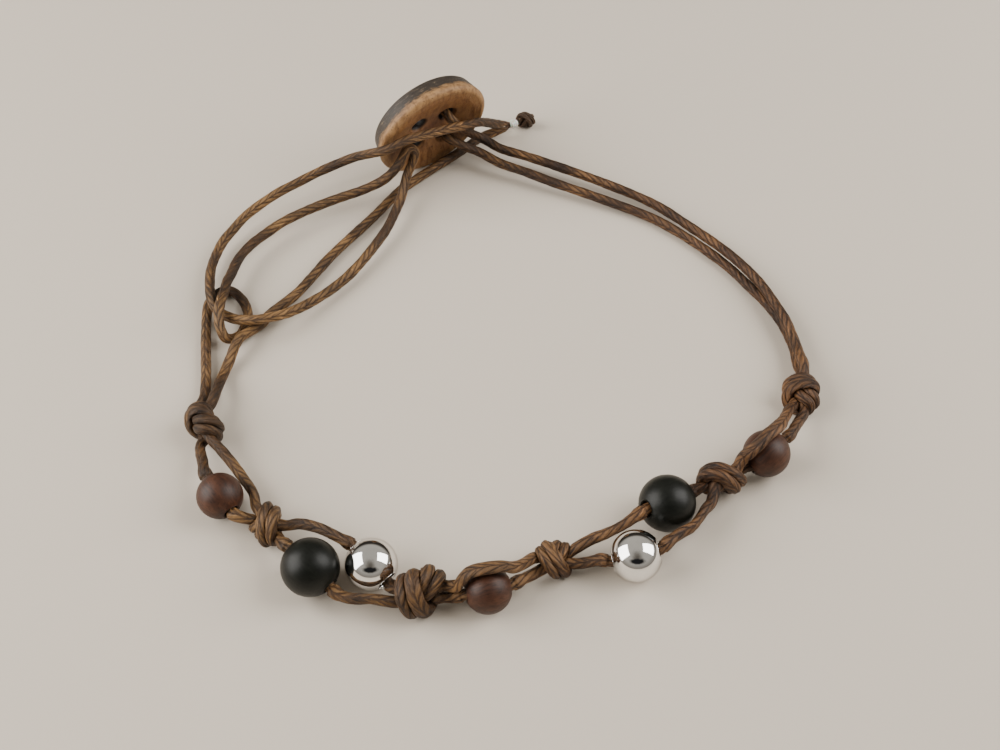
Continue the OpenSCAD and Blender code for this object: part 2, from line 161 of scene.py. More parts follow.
def newObject(name, points, quads, triangles, material, attributes=None, sharpPoints=None):
    # points in mm; quads (n, 4) and triangles (m, 3) are index arrays
    mesh = bpy.data.meshes.new(name)
    quads = np.asarray(quads, np.int32).reshape(-1, 4)
    triangles = np.asarray(triangles, np.int32).reshape(-1, 3)
    loops = np.concatenate([quads.ravel(), triangles.ravel()])
    starts = np.concatenate([np.arange(len(quads)) * 4, len(quads) * 4 + np.arange(len(triangles)) * 3])
    mesh.vertices.add(len(points))
    mesh.vertices.foreach_set("co", (np.asarray(points, np.float32) * mm).ravel())
    mesh.loops.add(len(loops))
    mesh.loops.foreach_set("vertex_index", loops.astype(np.int32))
    mesh.polygons.add(len(starts))
    mesh.polygons.foreach_set("loop_start", starts.astype(np.int32))
    mesh.update(calc_edges=True)
    mesh.polygons.foreach_set("use_smooth", np.ones(len(starts), bool))
    for key, values in (attributes or {}).items():
        kind, field = ("FLOAT_VECTOR", "vector") if values.ndim == 2 else ("FLOAT", "value")
        attribute = mesh.attributes.new(key, kind, "POINT")
        attribute.data.foreach_set(field, values.astype(np.float32).ravel())
    if sharpPoints is not None:
        # an edge between two marked points is sharp, so a flat end leaves the wall's shading alone
        ends = np.zeros(len(mesh.edges) * 2, np.int32)
        mesh.edges.foreach_get("vertices", ends)
        marked = np.zeros(len(points), bool)
        marked[sharpPoints] = True
        sharp = marked[ends.reshape(-1, 2)].all(1)
        mesh.attributes.new("sharp_edge", "BOOLEAN", "EDGE").data.foreach_set("value", sharp)
    mesh.validate()
    mesh.materials.append(material)
    piece = bpy.data.objects.new(name, mesh)
    bpy.context.scene.collection.objects.link(piece)
    return piece


def settle(piece, slot, *nodes):
    # a finished piece moves with the bracelet and stands for its CAD nodes
    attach(piece, "root")
    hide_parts(*nodes)


def nodeTree(name):
    material = bpy.data.materials.new(name)
    material.use_nodes = True
    tree = material.node_tree
    return material, tree, tree.nodes["Principled BSDF"]


def addNode(tree, kind, **values):
    # a value goes to the socket of that name, or else to the node's setting
    node = tree.nodes.new(kind)
    for key, value in values.items():
        if key in node.inputs:
            node.inputs[key].default_value = value
        else:
            setattr(node, key, value)
    return node


def feed(tree, value, socket):
    # another node's output is linked, and a number or colour is set on the socket itself
    if isinstance(value, bpy.types.NodeSocket):
        tree.links.new(value, socket)
    else:
        socket.default_value = (*value, 1) if isinstance(value, tuple) else value


def objectPlace(tree):
    return tree.nodes.new("ShaderNodeTexCoord").outputs["Object"]


def partsOf(tree, vector):
    node = tree.nodes.new("ShaderNodeSeparateXYZ")
    tree.links.new(vector, node.inputs["Vector"])
    return node.outputs


def noise(tree, vector, scale, detail, roughness, distortion=0.0):
    node = addNode(tree, "ShaderNodeTexNoise", Scale=scale, Detail=detail, Roughness=roughness,
                   Distortion=distortion)
    tree.links.new(vector, node.inputs["Vector"])
    return node.outputs["Fac"]


def mapped(tree, vector, place=(0, 0, 0), turn=(0, 0, 0), scale=(1, 1, 1)):
    node = addNode(tree, "ShaderNodeMapping", vector_type="TEXTURE", Location=place, Rotation=turn,
                   Scale=scale)
    tree.links.new(vector, node.inputs["Vector"])
    return node.outputs["Vector"]


def mathNode(tree, operation, *values):
    # the values may be numbers or other nodes' outputs
    node = addNode(tree, "ShaderNodeMath", operation=operation)
    for socket, value in zip(node.inputs, values):
        feed(tree, value, socket)
    return node.outputs[0]


def plus(tree, first, second):
    return mathNode(tree, "ADD", first, second)


def minus(tree, first, second):
    return mathNode(tree, "SUBTRACT", first, second)


def times(tree, first, second):
    return mathNode(tree, "MULTIPLY", first, second)


def diagonal(tree, u, v):
    # the root of one square plus the other
    return mathNode(tree, "SQRT", plus(tree, times(tree, u, u), times(tree, v, v)))


def between(tree, source, start, end, low=0.0, high=1.0):
    # as the source goes from start to end, this goes from low to high
    span = {"From Min": start, "From Max": end, "To Min": low, "To Max": high}
    node = addNode(tree, "ShaderNodeMapRange", **span)
    tree.links.new(source, node.inputs["Value"])
    return node.outputs["Result"]


def ramp(tree, source, stops):
    # each stop is a place and its colour, where a single number is a grey
    node = tree.nodes.new("ShaderNodeValToRGB")
    node.color_ramp.interpolation = "EASE"
    while len(node.color_ramp.elements) < len(stops):
        node.color_ramp.elements.new(0.5)
    for element, (place, colour) in zip(node.color_ramp.elements, stops):
        element.position = place
        element.color = (*(colour if isinstance(colour, tuple) else (colour,) * 3), 1)
    tree.links.new(source, node.inputs["Fac"])
    return node.outputs["Color"]


def mixColour(tree, kind, share, first, second):
    node = addNode(tree, "ShaderNodeMix", data_type="RGBA", blend_type=kind)
    for i, value in ((0, share), (6, first), (7, second)):
        feed(tree, value, node.inputs[i])
    return node.outputs[2]


def tinted(tree, colour, source, stops, share=1.0):
    # the colour times a ramp of the source
    return mixColour(tree, "MULTIPLY", share, colour, ramp(tree, source, stops))


def bump(tree, height, distance, strength, shader, before=None):
    # the shader gets the bumped normal; before is a bump that this one adds to
    node = addNode(tree, "ShaderNodeBump", Distance=distance, Strength=strength)
    tree.links.new(height, node.inputs["Height"])
    if before is not None:
        tree.links.new(before, node.inputs["Normal"])
    tree.links.new(node.outputs["Normal"], shader.inputs["Normal"])
    return node.outputs["Normal"]


cordLook = {
    # the stitches' grooves get a painted shade and their tops a painted highlight, both set by the
    # braid's height
    "grooveShade": (0.006, 0.003, 0.0018),
    "body": (0.047, 0.0225, 0.0095),
    "stitchHighlight": (0.160, 0.088, 0.038),
    "left": (1.12, 1.15, 1.02), "right": (0.78, 0.70, 0.66),   # the cord's tint at either side
    "roughness": (0.38, 0.62),
}
cordGrain = {
    # scale, detail, roughness and distortion of each noise: three along a stitch, two in space
    "fibres": (6.0, 4.0, 0.75), "strands": (1.7, 2.0, 0.5), "slits": (2.6, 3.0, 0.6, 0.4),
    "patches": (300.0, 4.0, 0.6), "shadeFade": (90.0, 2.0, 0.5),
    "shadeFadeRamp": [(0.35, 0.16), (0.65, 0.50)],   # the painted shade and painted highlight of the stitches are weaker in random places
    "levels": (0.36, 0.62, 0.98),                 # where the painted groove shade, the body colour and the painted stitch highlight lie on the relief
    "patchTint": [(0.32, (0.55, 0.50, 0.46)), (0.68, (1.55, 1.48, 1.38))],
    # painted shade in short slits between fibres, and pale flecks of painted highlight
    "slitShadeAndGlints": [(0.36, (0.22, 0.18, 0.16)), (0.44, 1), (0.60, 1), (0.70, (2.1, 2.1, 2.2))],
    "sideScale": 14.0,                            # the bracelet's width in metres becomes about 1
    "gloss": 0.36,
    "fibreBump": (0.00010, 0.9), "slitBump": (0.00022, 0.7),
}


def cordMaterial(name, look):
    # painted shade between the stitches, and fibres that run along each stitch, with a painted highlight
    # on them
    material, tree, shader = nodeTree(name)
    grain = cordGrain
    height = addNode(tree, "ShaderNodeAttribute", attribute_name="stitchHeight").outputs["Fac"]
    along = addNode(tree, "ShaderNodeAttribute", attribute_name="fibreSpace").outputs["Vector"]
    place = objectPlace(tree)
    fibres, strands, slits = (noise(tree, along, *grain[key]) for key in ("fibres", "strands", "slits"))
    patches, shadeFade = (noise(tree, place, *grain[key]) for key in ("patches", "shadeFade"))
    relief = times(tree, height, ramp(tree, shadeFade, grain["shadeFadeRamp"]))
    level = plus(tree, relief, times(tree, plus(tree, fibres, strands), 0.5))
    # painted shade in the grooves between stitches and painted highlight on the stitches' tops, mixed
    # with the fibres' own tone
    colour = ramp(tree, level, list(zip(grain["levels"], (look["grooveShade"], look["body"], look["stitchHighlight"]))))
    colour = tinted(tree, colour, patches, grain["patchTint"], 0.9)
    # painted shade in the slits and painted highlight in pale flecks
    colour = tinted(tree, colour, slits, grain["slitShadeAndGlints"])
    across = plus(tree, times(tree, partsOf(tree, place)[0], grain["sideScale"]), 0.5)
    colour = tinted(tree, colour, across, [(0.1, look["left"]), (0.9, look["right"])])
    feed(tree, colour, shader.inputs["Base Color"])
    feed(tree, between(tree, fibres, 0, 1, *look["roughness"]), shader.inputs["Roughness"])
    shader.inputs["Specular IOR Level"].default_value = grain["gloss"]
    bump(tree, slits, *grain["slitBump"], shader, bump(tree, fibres, *grain["fibreBump"], shader))
    return material


# the knots and the way points are those of part.scad
cord = {
    "diameter": 1.2,
    "air": 0.1,           # between pieces
    "perSpan": 12,        # fine points in each span of the route
    "step": 0.1,          # distance between rings
    "sides": 48,
    "columns": 4,         # columns of stitches round the cord
    "stitch": 1.47,       # a stitch's repeat along the cord
    "slant": 22,          # degrees between a stitch and the cord
    "braidDepth": 0.075,
    "ridge": 2.04,        # over 2, so that a stitch is a little narrower than its room
    "groove": 0.65,       # how much of the height is lost in the groove between two columns
    "grooveWide": 0.16,   # and that groove's part of a column's width, on each side
    "fibreLength": 0.4,   # the fibres' pattern is drawn out along them
    "ownFibres": (3.7, 1.9),   # so that each column and each stitch has its own
    # the cord is uneven in thickness, stitch length and braid depth: the share, and the waves'
    # number, shortest and longest length
    "thicker": 0.06, "thickWaves": (5, 1.5, 9),
    "longer": 0.5, "longWaves": (4, 4, 13),
    "shallow": 0.85, "deeper": 0.5, "deepWaves": (6, 0.9, 4),
    "knotGrowth": 1.5,    # how much a strand spreads inwards in a knot before it is pressed flat
    "growthEase": 0.35,   # how gently the spread goes from the outward to the inward rays
    "growthRings": 12,    # rings at a knot's ends over which the spread begins
    "pressReach": 1.9,    # a strand presses on another whose middle is as near as this
    "pressGap": 0.012,    # air between pressed strands
    "pressSoft": 0.03,    # roundness of the pressed edges
    "apart": 1.9,         # length of cord between a ring and the stretches that press on it
    "least": 0.14,        # shortest radius under pressure
    "flatAt": 0.12,       # a wall pressed in as far as this shows half its braid
    "bendShare": 0.92,    # how much of a bend's radius the wall may take on its inside
    "easing": 0.5,        # how far a bend beside a knot is evened out
    "easeReach": 1.1,     # how far from the knot
    "flatWide": 1.28, "flatThin": 0.84,   # a strand that lies on a bead
    "beadReach": 1.5, "beadEase": 0.7, "beadGap": 0.02,   # how near, how gradually, and the air
    "thinEnd": 0.33,      # radius at the cord's two ends
    "thinLength": 2.0,    # and the length over which it gets there
    "floorGap": 0.01,     # air under the lowest walls
}
cordRadius = cord["diameter"] / 2
toMiddle = np.array([0.46, 0.28, 0.0])   # from the route's zero to the middle of the bracelet's box
noStop = 9.0              # the length of a ray that nothing stops

beads = {
    # name: x, y, heading and pitch of the bore, diameter, bore
    "black_bead_left": (-19.6, -33.3, -41, -16, 6.0, 1.6),
    "silver_bead_left": (-13.5, -32.8, -45, -14, 5.4, 2.2),
    "brown_bead_left": (-29.9, -24.3, -52, -10, 4.9, 1.6),
    "brown_bead_middle": (-1.7, -35.6, 12, 0, 4.9, 1.6),
    "silver_bead_right": (13.3, -31.8, 8, 14, 5.4, 2.2),
    "black_bead_right": (16.9, -25.6, 29, -18, 6.0, 1.6),
    "brown_bead_right": (28.1, -18.9, 34, 18, 5.1, 1.6),
}


def beadCentre(name):
    # a bead lies on the table, so its middle is half its diameter up
    x, y, _, _, d, _ = beads[name]
    return np.array([x, y, d / 2])


def through(name):
    # three places along a bead's bore
    b = beads[name]
    axis = heading(b[2], b[3])
    return [beadCentre(name) + k * b[4] / 2 * axis for k in (-0.85, 0, 0.85)]


knotTable = {
    # x, y, heading, roll, size, twist of the pair on its way out at -X and at +X
    1: (-32.9, -14.6, -84, 270, 0.92, -55, -45),
    2: (-24.6, -27.5, -31, 60, 0.87, -50, -40),
    3: (-8.4, -35.9, 3, 240, 1.06, -45, 0),
    4: (5.2, -31.8, 14, 190, 0.82, 25, 10),
    5: (23.1, -22, 46, 130, 0.95, 30, -20),
    6: (32.9, -10.3, 78, 345, 0.85, 25, -45),
    7: (2.9, 36.8, 30, 90, 0.5, 0, 0),
}
knotHalf = np.array([
    # x, y, z of the pair's middle, then the direction from one strand to the other
    [0, 1.6, 0, 1, 0, -0.1],
    [0.3, 1.5, 0.7, 1, 0.1, -0.1],
    [0.6, 1.1, 1.3, 1, 0.1, -0.1],
    [0.9, 0.4, 1.6, 1, 0.1, -0.2],
    [1.2, -0.5, 1.6, 1, 0.1, -0.2],
    [1.3, -1.2, 1.3, 0.9, 0.2, -0.3],
    [1.3, -1.7, 0.7, 0.8, 0.4, -0.4],
    [1.1, -1.7, -0.1, 0.7, 0.6, -0.4],
    [0.7, -1.2, -0.5, 0.6, 0.8, -0.1],
    [0.1, -0.6, -0.6, 0.5, 0.8, 0],
    [-0.6, -0.2, -0.5, 0.3, 0.9, 0],
    [-1.3, 0, -0.4, 0, 1, 0],
    [-1.8, 0, -0.3, 0, 1, 0],
    [-2.2, 0, -0.2, 0, 1, 0],
])
knotShape = {"pairGap": 1.04, "cord": 0.9, "twistFrom": 1.3, "tailFrom": 1.8, "tailEnd": 2.2,
             "tailRows": 4, "tailAir": 0.15, "endRadius": 0.24}
tailGap = 2.6 * cord["air"]

# the whole knot: one half, and the same half turned half a turn about Y
otherHalf = knotHalf[1:] * np.array([-1, 1, -1, 1, -1, 1])
knotRows = np.vstack([knotHalf[::-1], otherHalf])


def tailRadius(k):
    # the cord's radius where it leaves a knot; the end knot is tied from the thinned ends
    return knotShape["endRadius"] if k == 7 else cordRadius


def partWay(x, start):
    # 0 inside a knot, up to start from its middle, and 1 at its ends
    return np.clip((np.abs(x) - start) / (knotShape["tailEnd"] - start), 0, 1)


def knotOwnLine(k, s):
    # the line of strand s, in the knot's own frame: the pair's middle, and half the pair's gap sideways
    _, _, _, roll, size, twistA, twistB = knotTable[k]
    middle = knotRows[:, :3]
    last = len(middle) - 1
    rows = np.arange(len(middle))
    direction = unit(middle[np.minimum(rows + 1, last)] - middle[np.maximum(rows - 1, 0)])
    tail = (rows < knotShape["tailRows"]) | (rows > last - knotShape["tailRows"])
    twisted = tail * partWay(middle[:, 0], knotShape["twistFrom"])
    across = knotRows[:, 3:]
    across = unit(across - (across * direction).sum(1, keepdims=True) * direction)
    across = turnedAbout(0, across, twisted * np.where(middle[:, 0] < 0, twistA, twistB))
    wide = (2 * tailRadius(k) + knotShape["tailAir"]) / size
    gap = knotShape["pairGap"] * (1 - twisted) + wide * twisted
    return size * turnedAbout(0, middle + s * gap[:, None] / 2 * across, roll)


def knotRadii(k):
    # the radius at each row: the pressed cord's, easing to the free cord's at both ends
    grown = partWay(knotRows[:, 0], knotShape["tailFrom"])
    return knotShape["cord"] * knotTable[k][4] / 2 * (1 - grown) + tailRadius(k) * grown


def knotLine(k, s):
    # on the table, the lowest strand just touches it
    x, y, turn = knotTable[k][:3]
    lowest = min((knotOwnLine(k, side)[:, 2] - knotRadii(k)).min() for side in (-1, 1))
    return np.array([x, y, -lowest]) + turnedAbout(2, knotOwnLine(k, s), turn)


def tailPoints(k, s, end):
    # one place beyond a knot's end, straight on from it
    line = knotLine(k, s)
    a, b = (line[0], line[1]) if end == 0 else (line[-1], line[-2])
    return [a + tailGap * unit(a - b)]


def betweenKnots(a, sa, b, sb, way):
    # from strand sa of knot a by the way points to strand sb of knot b
    return np.array(tailPoints(a, sa, 1) + way + tailPoints(b, sb, 0)[::-1])


def places(*rows):
    return [np.array(r, float) for r in rows]


# the button's size and place, and below them the cord's way through its two right holes
button = {
    "diameter": 15.2, "thickness": 3.0, "dishDepth": 1.0, "dishDiameter": 12.0,
    "holeSquare": 4.0, "holeDiameter": 1.9, "holesSide": 0.1, "holesUp": -0.6,
    "x": -8.7, "y": 27.5, "heading": -57, "lean": 15,
    "rimRound": 0.6, "backRound": 0.5, "backStep": 0.5, "dishStep": 0.05, "foldOut": 0.8,
    "faceFlare": (0.28, 0.45), "backFlare": (0.22, 0.3),   # how wide and how deep a hole's mouth is
    "fine": 6, "around": 192, "holeAround": 48,            # divisions
}
lean, turn = math.radians(button["lean"]), math.radians(button["heading"])
faceSide = np.array([-math.sin(turn), math.cos(turn), 0])
faceUp = np.array([math.cos(turn) * math.sin(lean), math.sin(turn) * math.sin(lean), math.cos(lean)])
faceOut = np.array([math.cos(turn) * math.cos(lean), math.sin(turn) * math.cos(lean), -math.sin(lean)])


def arcPoints(radius, height, size, start, end, count):
    # part of a circle round (radius, height), in degrees
    a = np.radians(np.linspace(start, end, count))
    return np.stack([radius + size * np.cos(a), height + size * np.sin(a)], 1)


def buttonProfile(fine):
    # from the dish's middle over the rim and down to the back: (radius, height over the face's plane)
    b = button
    x = np.linspace(0, 1, 5 * fine + 1)
    dish = np.stack([x * b["dishDiameter"] / 2, -b["dishDepth"] * (1 - x * x) - b["dishStep"]], 1)
    rim = arcPoints(b["diameter"] / 2 - b["rimRound"], -b["rimRound"], b["rimRound"], 120, 0,
                    4 * fine + 1)
    back = arcPoints(b["diameter"] / 2 - b["backStep"] - b["backRound"], -b["thickness"] + b["backRound"],
                     b["backRound"], 0, -90, 3 * fine + 1)
    return np.vstack([dish, rim, back, [[0, -b["thickness"]]]])


coarse = buttonProfile(1)
buttonHeight = (coarse[:, 0] * math.cos(lean) + coarse[:, 1] * math.sin(lean)).max()
buttonAt = np.array([button["x"], button["y"], buttonHeight])


def onButton(side, up, out):
    # a place in the button's own directions, from the middle of its face
    return buttonAt + side * faceSide + up * faceUp + out * faceOut


half = button["holeSquare"] / 2
holeUpper = (button["holesSide"] + half, button["holesUp"] + half)
holeLower = (button["holesSide"] + half, button["holesUp"] - half)
wayUpper = [onButton(holeUpper[0] + a, holeUpper[1] + b, c) for a, b, c in
            ((0, 0, -1.2), (0, 0, -0.8), (0.15, -0.2, -0.2), (0.6, -0.8, 0.2), (1.3, -1.9, 0.4))]
wayLower = [onButton(holeLower[0] + a, holeLower[1] + b, c) for a, b, c in
            ((0, 0, -1.2), (0, 0, -0.8), (0.15, -0.1, -0.2), (0.6, -0.4, 0.35))]
foldBack = -button["thickness"] - button["foldOut"]
foldWay = [onButton(holeUpper[0], up, out) for up, out in (
    (holeUpper[1], -1.32), (holeUpper[1], -2), (holeUpper[1], -2.6), (holeUpper[1] - 0.1, -3.2),
    (holeUpper[1] - 0.6, foldBack + 0.05), ((holeUpper[1] + holeLower[1]) / 2, foldBack),
    (holeLower[1] + 0.6, foldBack + 0.05), (holeLower[1] + 0.1, -3.2), (holeLower[1], -2.6),
    (holeLower[1], -2), (holeLower[1], -1.32))]

closingBack = tailPoints(1, -1, 0) + places(
    [-32.2, -10.3, 2.1], [-32.1, -8.2, 1.4], [-31.9, -6.2, 0.8], [-31.4, -4.4, 1.1], [-31, -3.1, 1.6],
    [-30.5, -1.9, 1.8], [-29.8, -0.9, 1.5], [-29.1, 0.2, 1], [-28.4, 1.3, 0.7], [-27.7, 2.6, 0.7],
    [-24.9, 5.9, 0.65], [-23.3, 8.5, 0.65], [-21.1, 12.3, 0.65], [-16.5, 18.8, 0.65], [-13.1, 23.9, 0.65],
    [-12, 25, 0.7], [-10.8, 26.1, 0.8], [-9.5, 27.1, 1], [-8.3, 28.2, 1.1], [-6.6, 29.6, 1.2],
    [-4.9, 31.3, 1.2], [-3.4, 33, 1.1], [-2.3, 33.9, 1], [-1.4, 34.4, 1], [-0.6, 34.7, 1.05],
    [0.2, 34.9, 1.15])
rightOuter = tailPoints(6, 1, 1) + places(
    [33.7, -6.8, 2.9], [33.6, -5.5, 2.5], [33.5, -3.5, 2], [32.8, 0.3, 2], [31.8, 3.3, 1.95],
    [30.3, 6.9, 1.85], [27.6, 11.2, 1.7], [23.1, 16.8, 1.1], [18.8, 21.1, 0.9], [12.5, 24.7, 1.2],
    [6.1, 27.6, 1.6], [2.7, 28.9, 1.9], [-0.5, 30, 2.2], [-2, 30.8, 2.6], [-3.2, 31.1, 3.2],
    [-4.1, 30.5, 4.2], [-4.8, 29.9, 5.3]) + wayUpper[::-1]
rightInner = tailPoints(6, -1, 1) + places(
    [33.7, -6.9, 1.1], [33.6, -5.2, 0.7], [33.5, -2.5, 0.65], [32.6, 1.3, 0.65], [31.4, 4, 0.65],
    [29.4, 7.2, 0.65], [26.9, 10.8, 0.65], [23, 15, 0.65], [18.7, 18.6, 0.7], [12.4, 21.8, 1],
    [6, 24.6, 1.4], [2.7, 26.1, 1.7], [-0.5, 27.4, 2], [-3.1, 28.9, 2.5], [-4.6, 29.1, 3.1],
    [-5.6, 29.2, 3.6]) + wayLower[::-1]
smallLoop = tailPoints(1, 1, 0) + places(
    [-33.6, -10.5, 1.4], [-33.7, -9, 0.9], [-33.9, -7.3, 0.65], [-34.7, -1.3, 0.65], [-35.1, 2.6, 0.65],
    [-35.1, 4.2, 0.65], [-34.6, 5.5, 0.65], [-33.8, 6.3, 0.65], [-32.7, 6.4, 0.65], [-31.7, 5.6, 0.65],
    [-30.8, 4.3, 0.65], [-30.3, 2.9, 0.65], [-30.2, 1.9, 0.65], [-30.4, 0.7, 0.65], [-30.8, -0.5, 0.65],
    [-31.6, -1.2, 0.8], [-32.3, -1.5, 1.3], [-32.7, -1.1, 2], [-33, -0.2, 2.7], [-33.1, 1, 3.1],
    [-33.1, 2.4, 3.1], [-33, 4.2, 2.7], [-32.9, 6.4, 2.4], [-32.5, 7.9, 2.3])
spareLoop = places(
    [-32.5, 8.1, 2.3], [-31.9, 10.4, 2.3], [-30.7, 12.6, 2.3], [-29.1, 14.5, 2.3], [-27.4, 16.3, 2.3],
    [-25.3, 17.9, 2.3], [-22.9, 19.3, 2.4], [-20.3, 20.5, 2.6], [-17.8, 21.3, 3], [-15.2, 22.1, 3.9],
    [-13.9, 22.7, 4.8], [-13, 23.4, 5.7], [-12.5, 24, 6.4], [-12.1, 24.5, 6.9],
    [-11.6, 24.9, 6.8], [-11.2, 24.9, 6.1], [-11.5, 24.2, 5], [-12.1, 23.4, 3.9], [-12.5, 22.4, 3],
    [-12.8, 21.1, 2.3], [-13.5, 18.8, 1.9], [-14.5, 15.9, 1.6], [-15.8, 13.3, 1.4],
    [-17.3, 10.7, 1.2], [-18.8, 8.4, 1.1])
closingFront = places(
    [-18.95, 8.2, 1.1], [-20.6, 6.3, 1.1], [-22.3, 4.5, 1.3], [-24, 2.9, 1.6], [-25.6, 1.5, 2.1],
    [-27.2, 0.6, 2.5], [-28.3, 0.1, 2.7], [-29.8, 0.2, 2.5], [-31.1, 0.7, 2], [-32.3, 1.4, 1.7],
    [-33.5, 2.2, 1.7], [-34.2, 3.1, 1.9], [-34.7, 4.5, 2], [-35.1, 6.7, 1.8], [-35.3, 8.6, 1.6],
    [-35.2, 10.2, 1.6], [-34.4, 13.6, 1.7], [-33.3, 15.6, 1.9], [-32, 17.6, 2.2], [-28.4, 20.7, 3],
    [-25.9, 22, 3.6], [-23.4, 23, 4.4], [-20.7, 23.6, 5.4], [-18.5, 23.7, 6.4], [-16.6, 23.2, 7.4],
    [-15.3, 22.8, 8.1], [-14.1, 22.6, 8.7], [-13, 23, 9.1], [-11.7, 23.8, 9.2], [-10.4, 24.7, 8.9],
    [-8, 26, 8.6], [-6.1, 26.9, 8.4], [-4.9, 27.9, 7.9], [-3.7, 29.3, 7.1], [-2.8, 30.7, 6],
    [-2.1, 32, 4.8], [-1.2, 33.4, 3.4], [-0.4, 34.4, 2.5], [0.2, 35.1, 2])

# the one cord from end to end: (node, points), up the bead side and back again
cordRoute = [
    ("closing_back_strand", closingBack[::-1]),
    ("knot_1", knotLine(1, -1)),
    ("strand_2_1_bead", betweenKnots(1, -1, 2, -1, places(
        [-32.8, -18.4, 2], [-32.3, -19.9, 2.5], [-31.8, -21.6, 2.9])
        + through("brown_bead_left") + places([-28.1, -26.6, 2.3]))),
    ("knot_2", knotLine(2, -1)),
    ("strand_3_2_silver", betweenKnots(2, -1, 3, -1, places(
        [-21.4, -28, 2.8], [-19.4, -28.6, 3.1], [-17.6, -29.6, 3.3])
        + through("silver_bead_left") + places([-11.4, -35, 2.1]))),
    ("knot_3", knotLine(3, -1)),
    ("strand_4_3_bead", betweenKnots(3, -1, 4, 1, through("brown_bead_middle")
        + places([1.8, -34.1, 2]))),
    ("knot_4", knotLine(4, 1)),
    ("strand_5_4_black", betweenKnots(4, 1, 5, -1, places(
        [8.9, -29.8, 2.7], [10.4, -29.3, 3], [12.2, -28.5, 3.4], [13.4, -27.7, 3.7])
        + through("black_bead_right") + places([19.9, -23.4, 2.1]))),
    ("knot_5", knotLine(5, -1)),
    ("strand_6_5_over", betweenKnots(5, -1, 6, 1, places(
        [25.4, -20.2, 3.8], [25.9, -20.3, 4.8], [26.7, -20, 5.7], [27.7, -19, 6.1], [28.7, -18, 5.8],
        [29.6, -16.6, 4.9], [30.6, -14.5, 3.5], [31.2, -13.2, 2.8]))),
    ("knot_6", knotLine(6, 1)),
    ("right_outer_strand", rightOuter),
    ("button_fold", foldWay),
    ("right_inner_strand", rightInner[::-1]),
    ("knot_6", knotLine(6, -1)[::-1]),
    ("strand_6_5_bead", betweenKnots(5, 1, 6, -1, through("brown_bead_right") + places(
        [30.8, -16.9, 3.3], [31.6, -15.5, 2.8], [32.3, -14.2, 2.1]))[::-1]),
    ("knot_5", knotLine(5, 1)[::-1]),
    ("strand_5_4_silver", betweenKnots(4, -1, 5, 1, places([8.6, -31.9, 1.7], [9.7, -31.9, 2.1])
        + through("silver_bead_right") + places(
        [16.8, -30.4, 3.4], [18, -29.4, 3.2], [19.2, -28.6, 3.1], [20.1, -27.4, 2.9], [20.9, -26.1, 2.7],
        [21.6, -25.1, 2.3]))[::-1]),
    ("knot_4", knotLine(4, -1)[::-1]),
    ("strand_4_3_over", betweenKnots(3, 1, 4, -1, places(
        [-4.8, -35.7, 3.3], [-4.4, -35.6, 4.1], [-3.5, -35.3, 5.3], [-1.8, -35.1, 5.8],
        [-0.2, -34.6, 5.3], [0.7, -34.3, 4.6], [1.6, -33.6, 3.9]))[::-1]),
    ("knot_3", knotLine(3, 1)[::-1]),
    ("strand_3_2_black", betweenKnots(2, 1, 3, 1, places([-22.8, -30.3, 2.9], [-22.3, -31, 3.6])
        + through("black_bead_left") + places(
        [-16.7, -35.9, 2.1], [-15.2, -36.5, 2.3], [-13.3, -36.6, 2.4]))[::-1]),
    ("knot_2", knotLine(2, 1)[::-1]),
    ("strand_2_1_inner", betweenKnots(1, 1, 2, 1, places(
        [-30.9, -17.9, 2.4], [-29.4, -19.6, 2.1], [-27.9, -21.5, 1.7], [-26.5, -23.7, 1.9]))[::-1]),
    ("knot_1", knotLine(1, 1)[::-1]),
    ("small_loop_strand", smallLoop),
    ("spare_loop_strand", spareLoop),
    ("closing_front_strand", closingFront),
]


def smoothLine(points, perSpan):
    # centripetal Catmull-Rom through all points at once: each span blends three straight runs
    p = np.vstack([2 * points[0] - points[1], points, 2 * points[-1] - points[-2]])
    t = np.concatenate([[0], np.cumsum(np.sqrt(np.linalg.norm(np.diff(p, axis=0), axis=1)))])
    a, b, c, d = p[:-3, None], p[1:-2, None], p[2:-1, None], p[3:, None]
    ta, tb, tc, td = (t[i:len(t) - 3 + i, None, None] for i in range(4))
    u = np.arange(perSpan)[None, :, None] / perSpan
    now = tb + (tc - tb) * u

    def blend(first, second, start, end):
        return first * (end - now) / (end - start) + second * (now - start) / (end - start)

    ab, bc, cd = blend(a, b, ta, tb), blend(b, c, tb, tc), blend(c, d, tc, td)
    fine = blend(blend(ab, bc, ta, tc), blend(bc, cd, tb, td), tb, tc)
    return np.vstack([fine.reshape(-1, 3), points[-1:]])


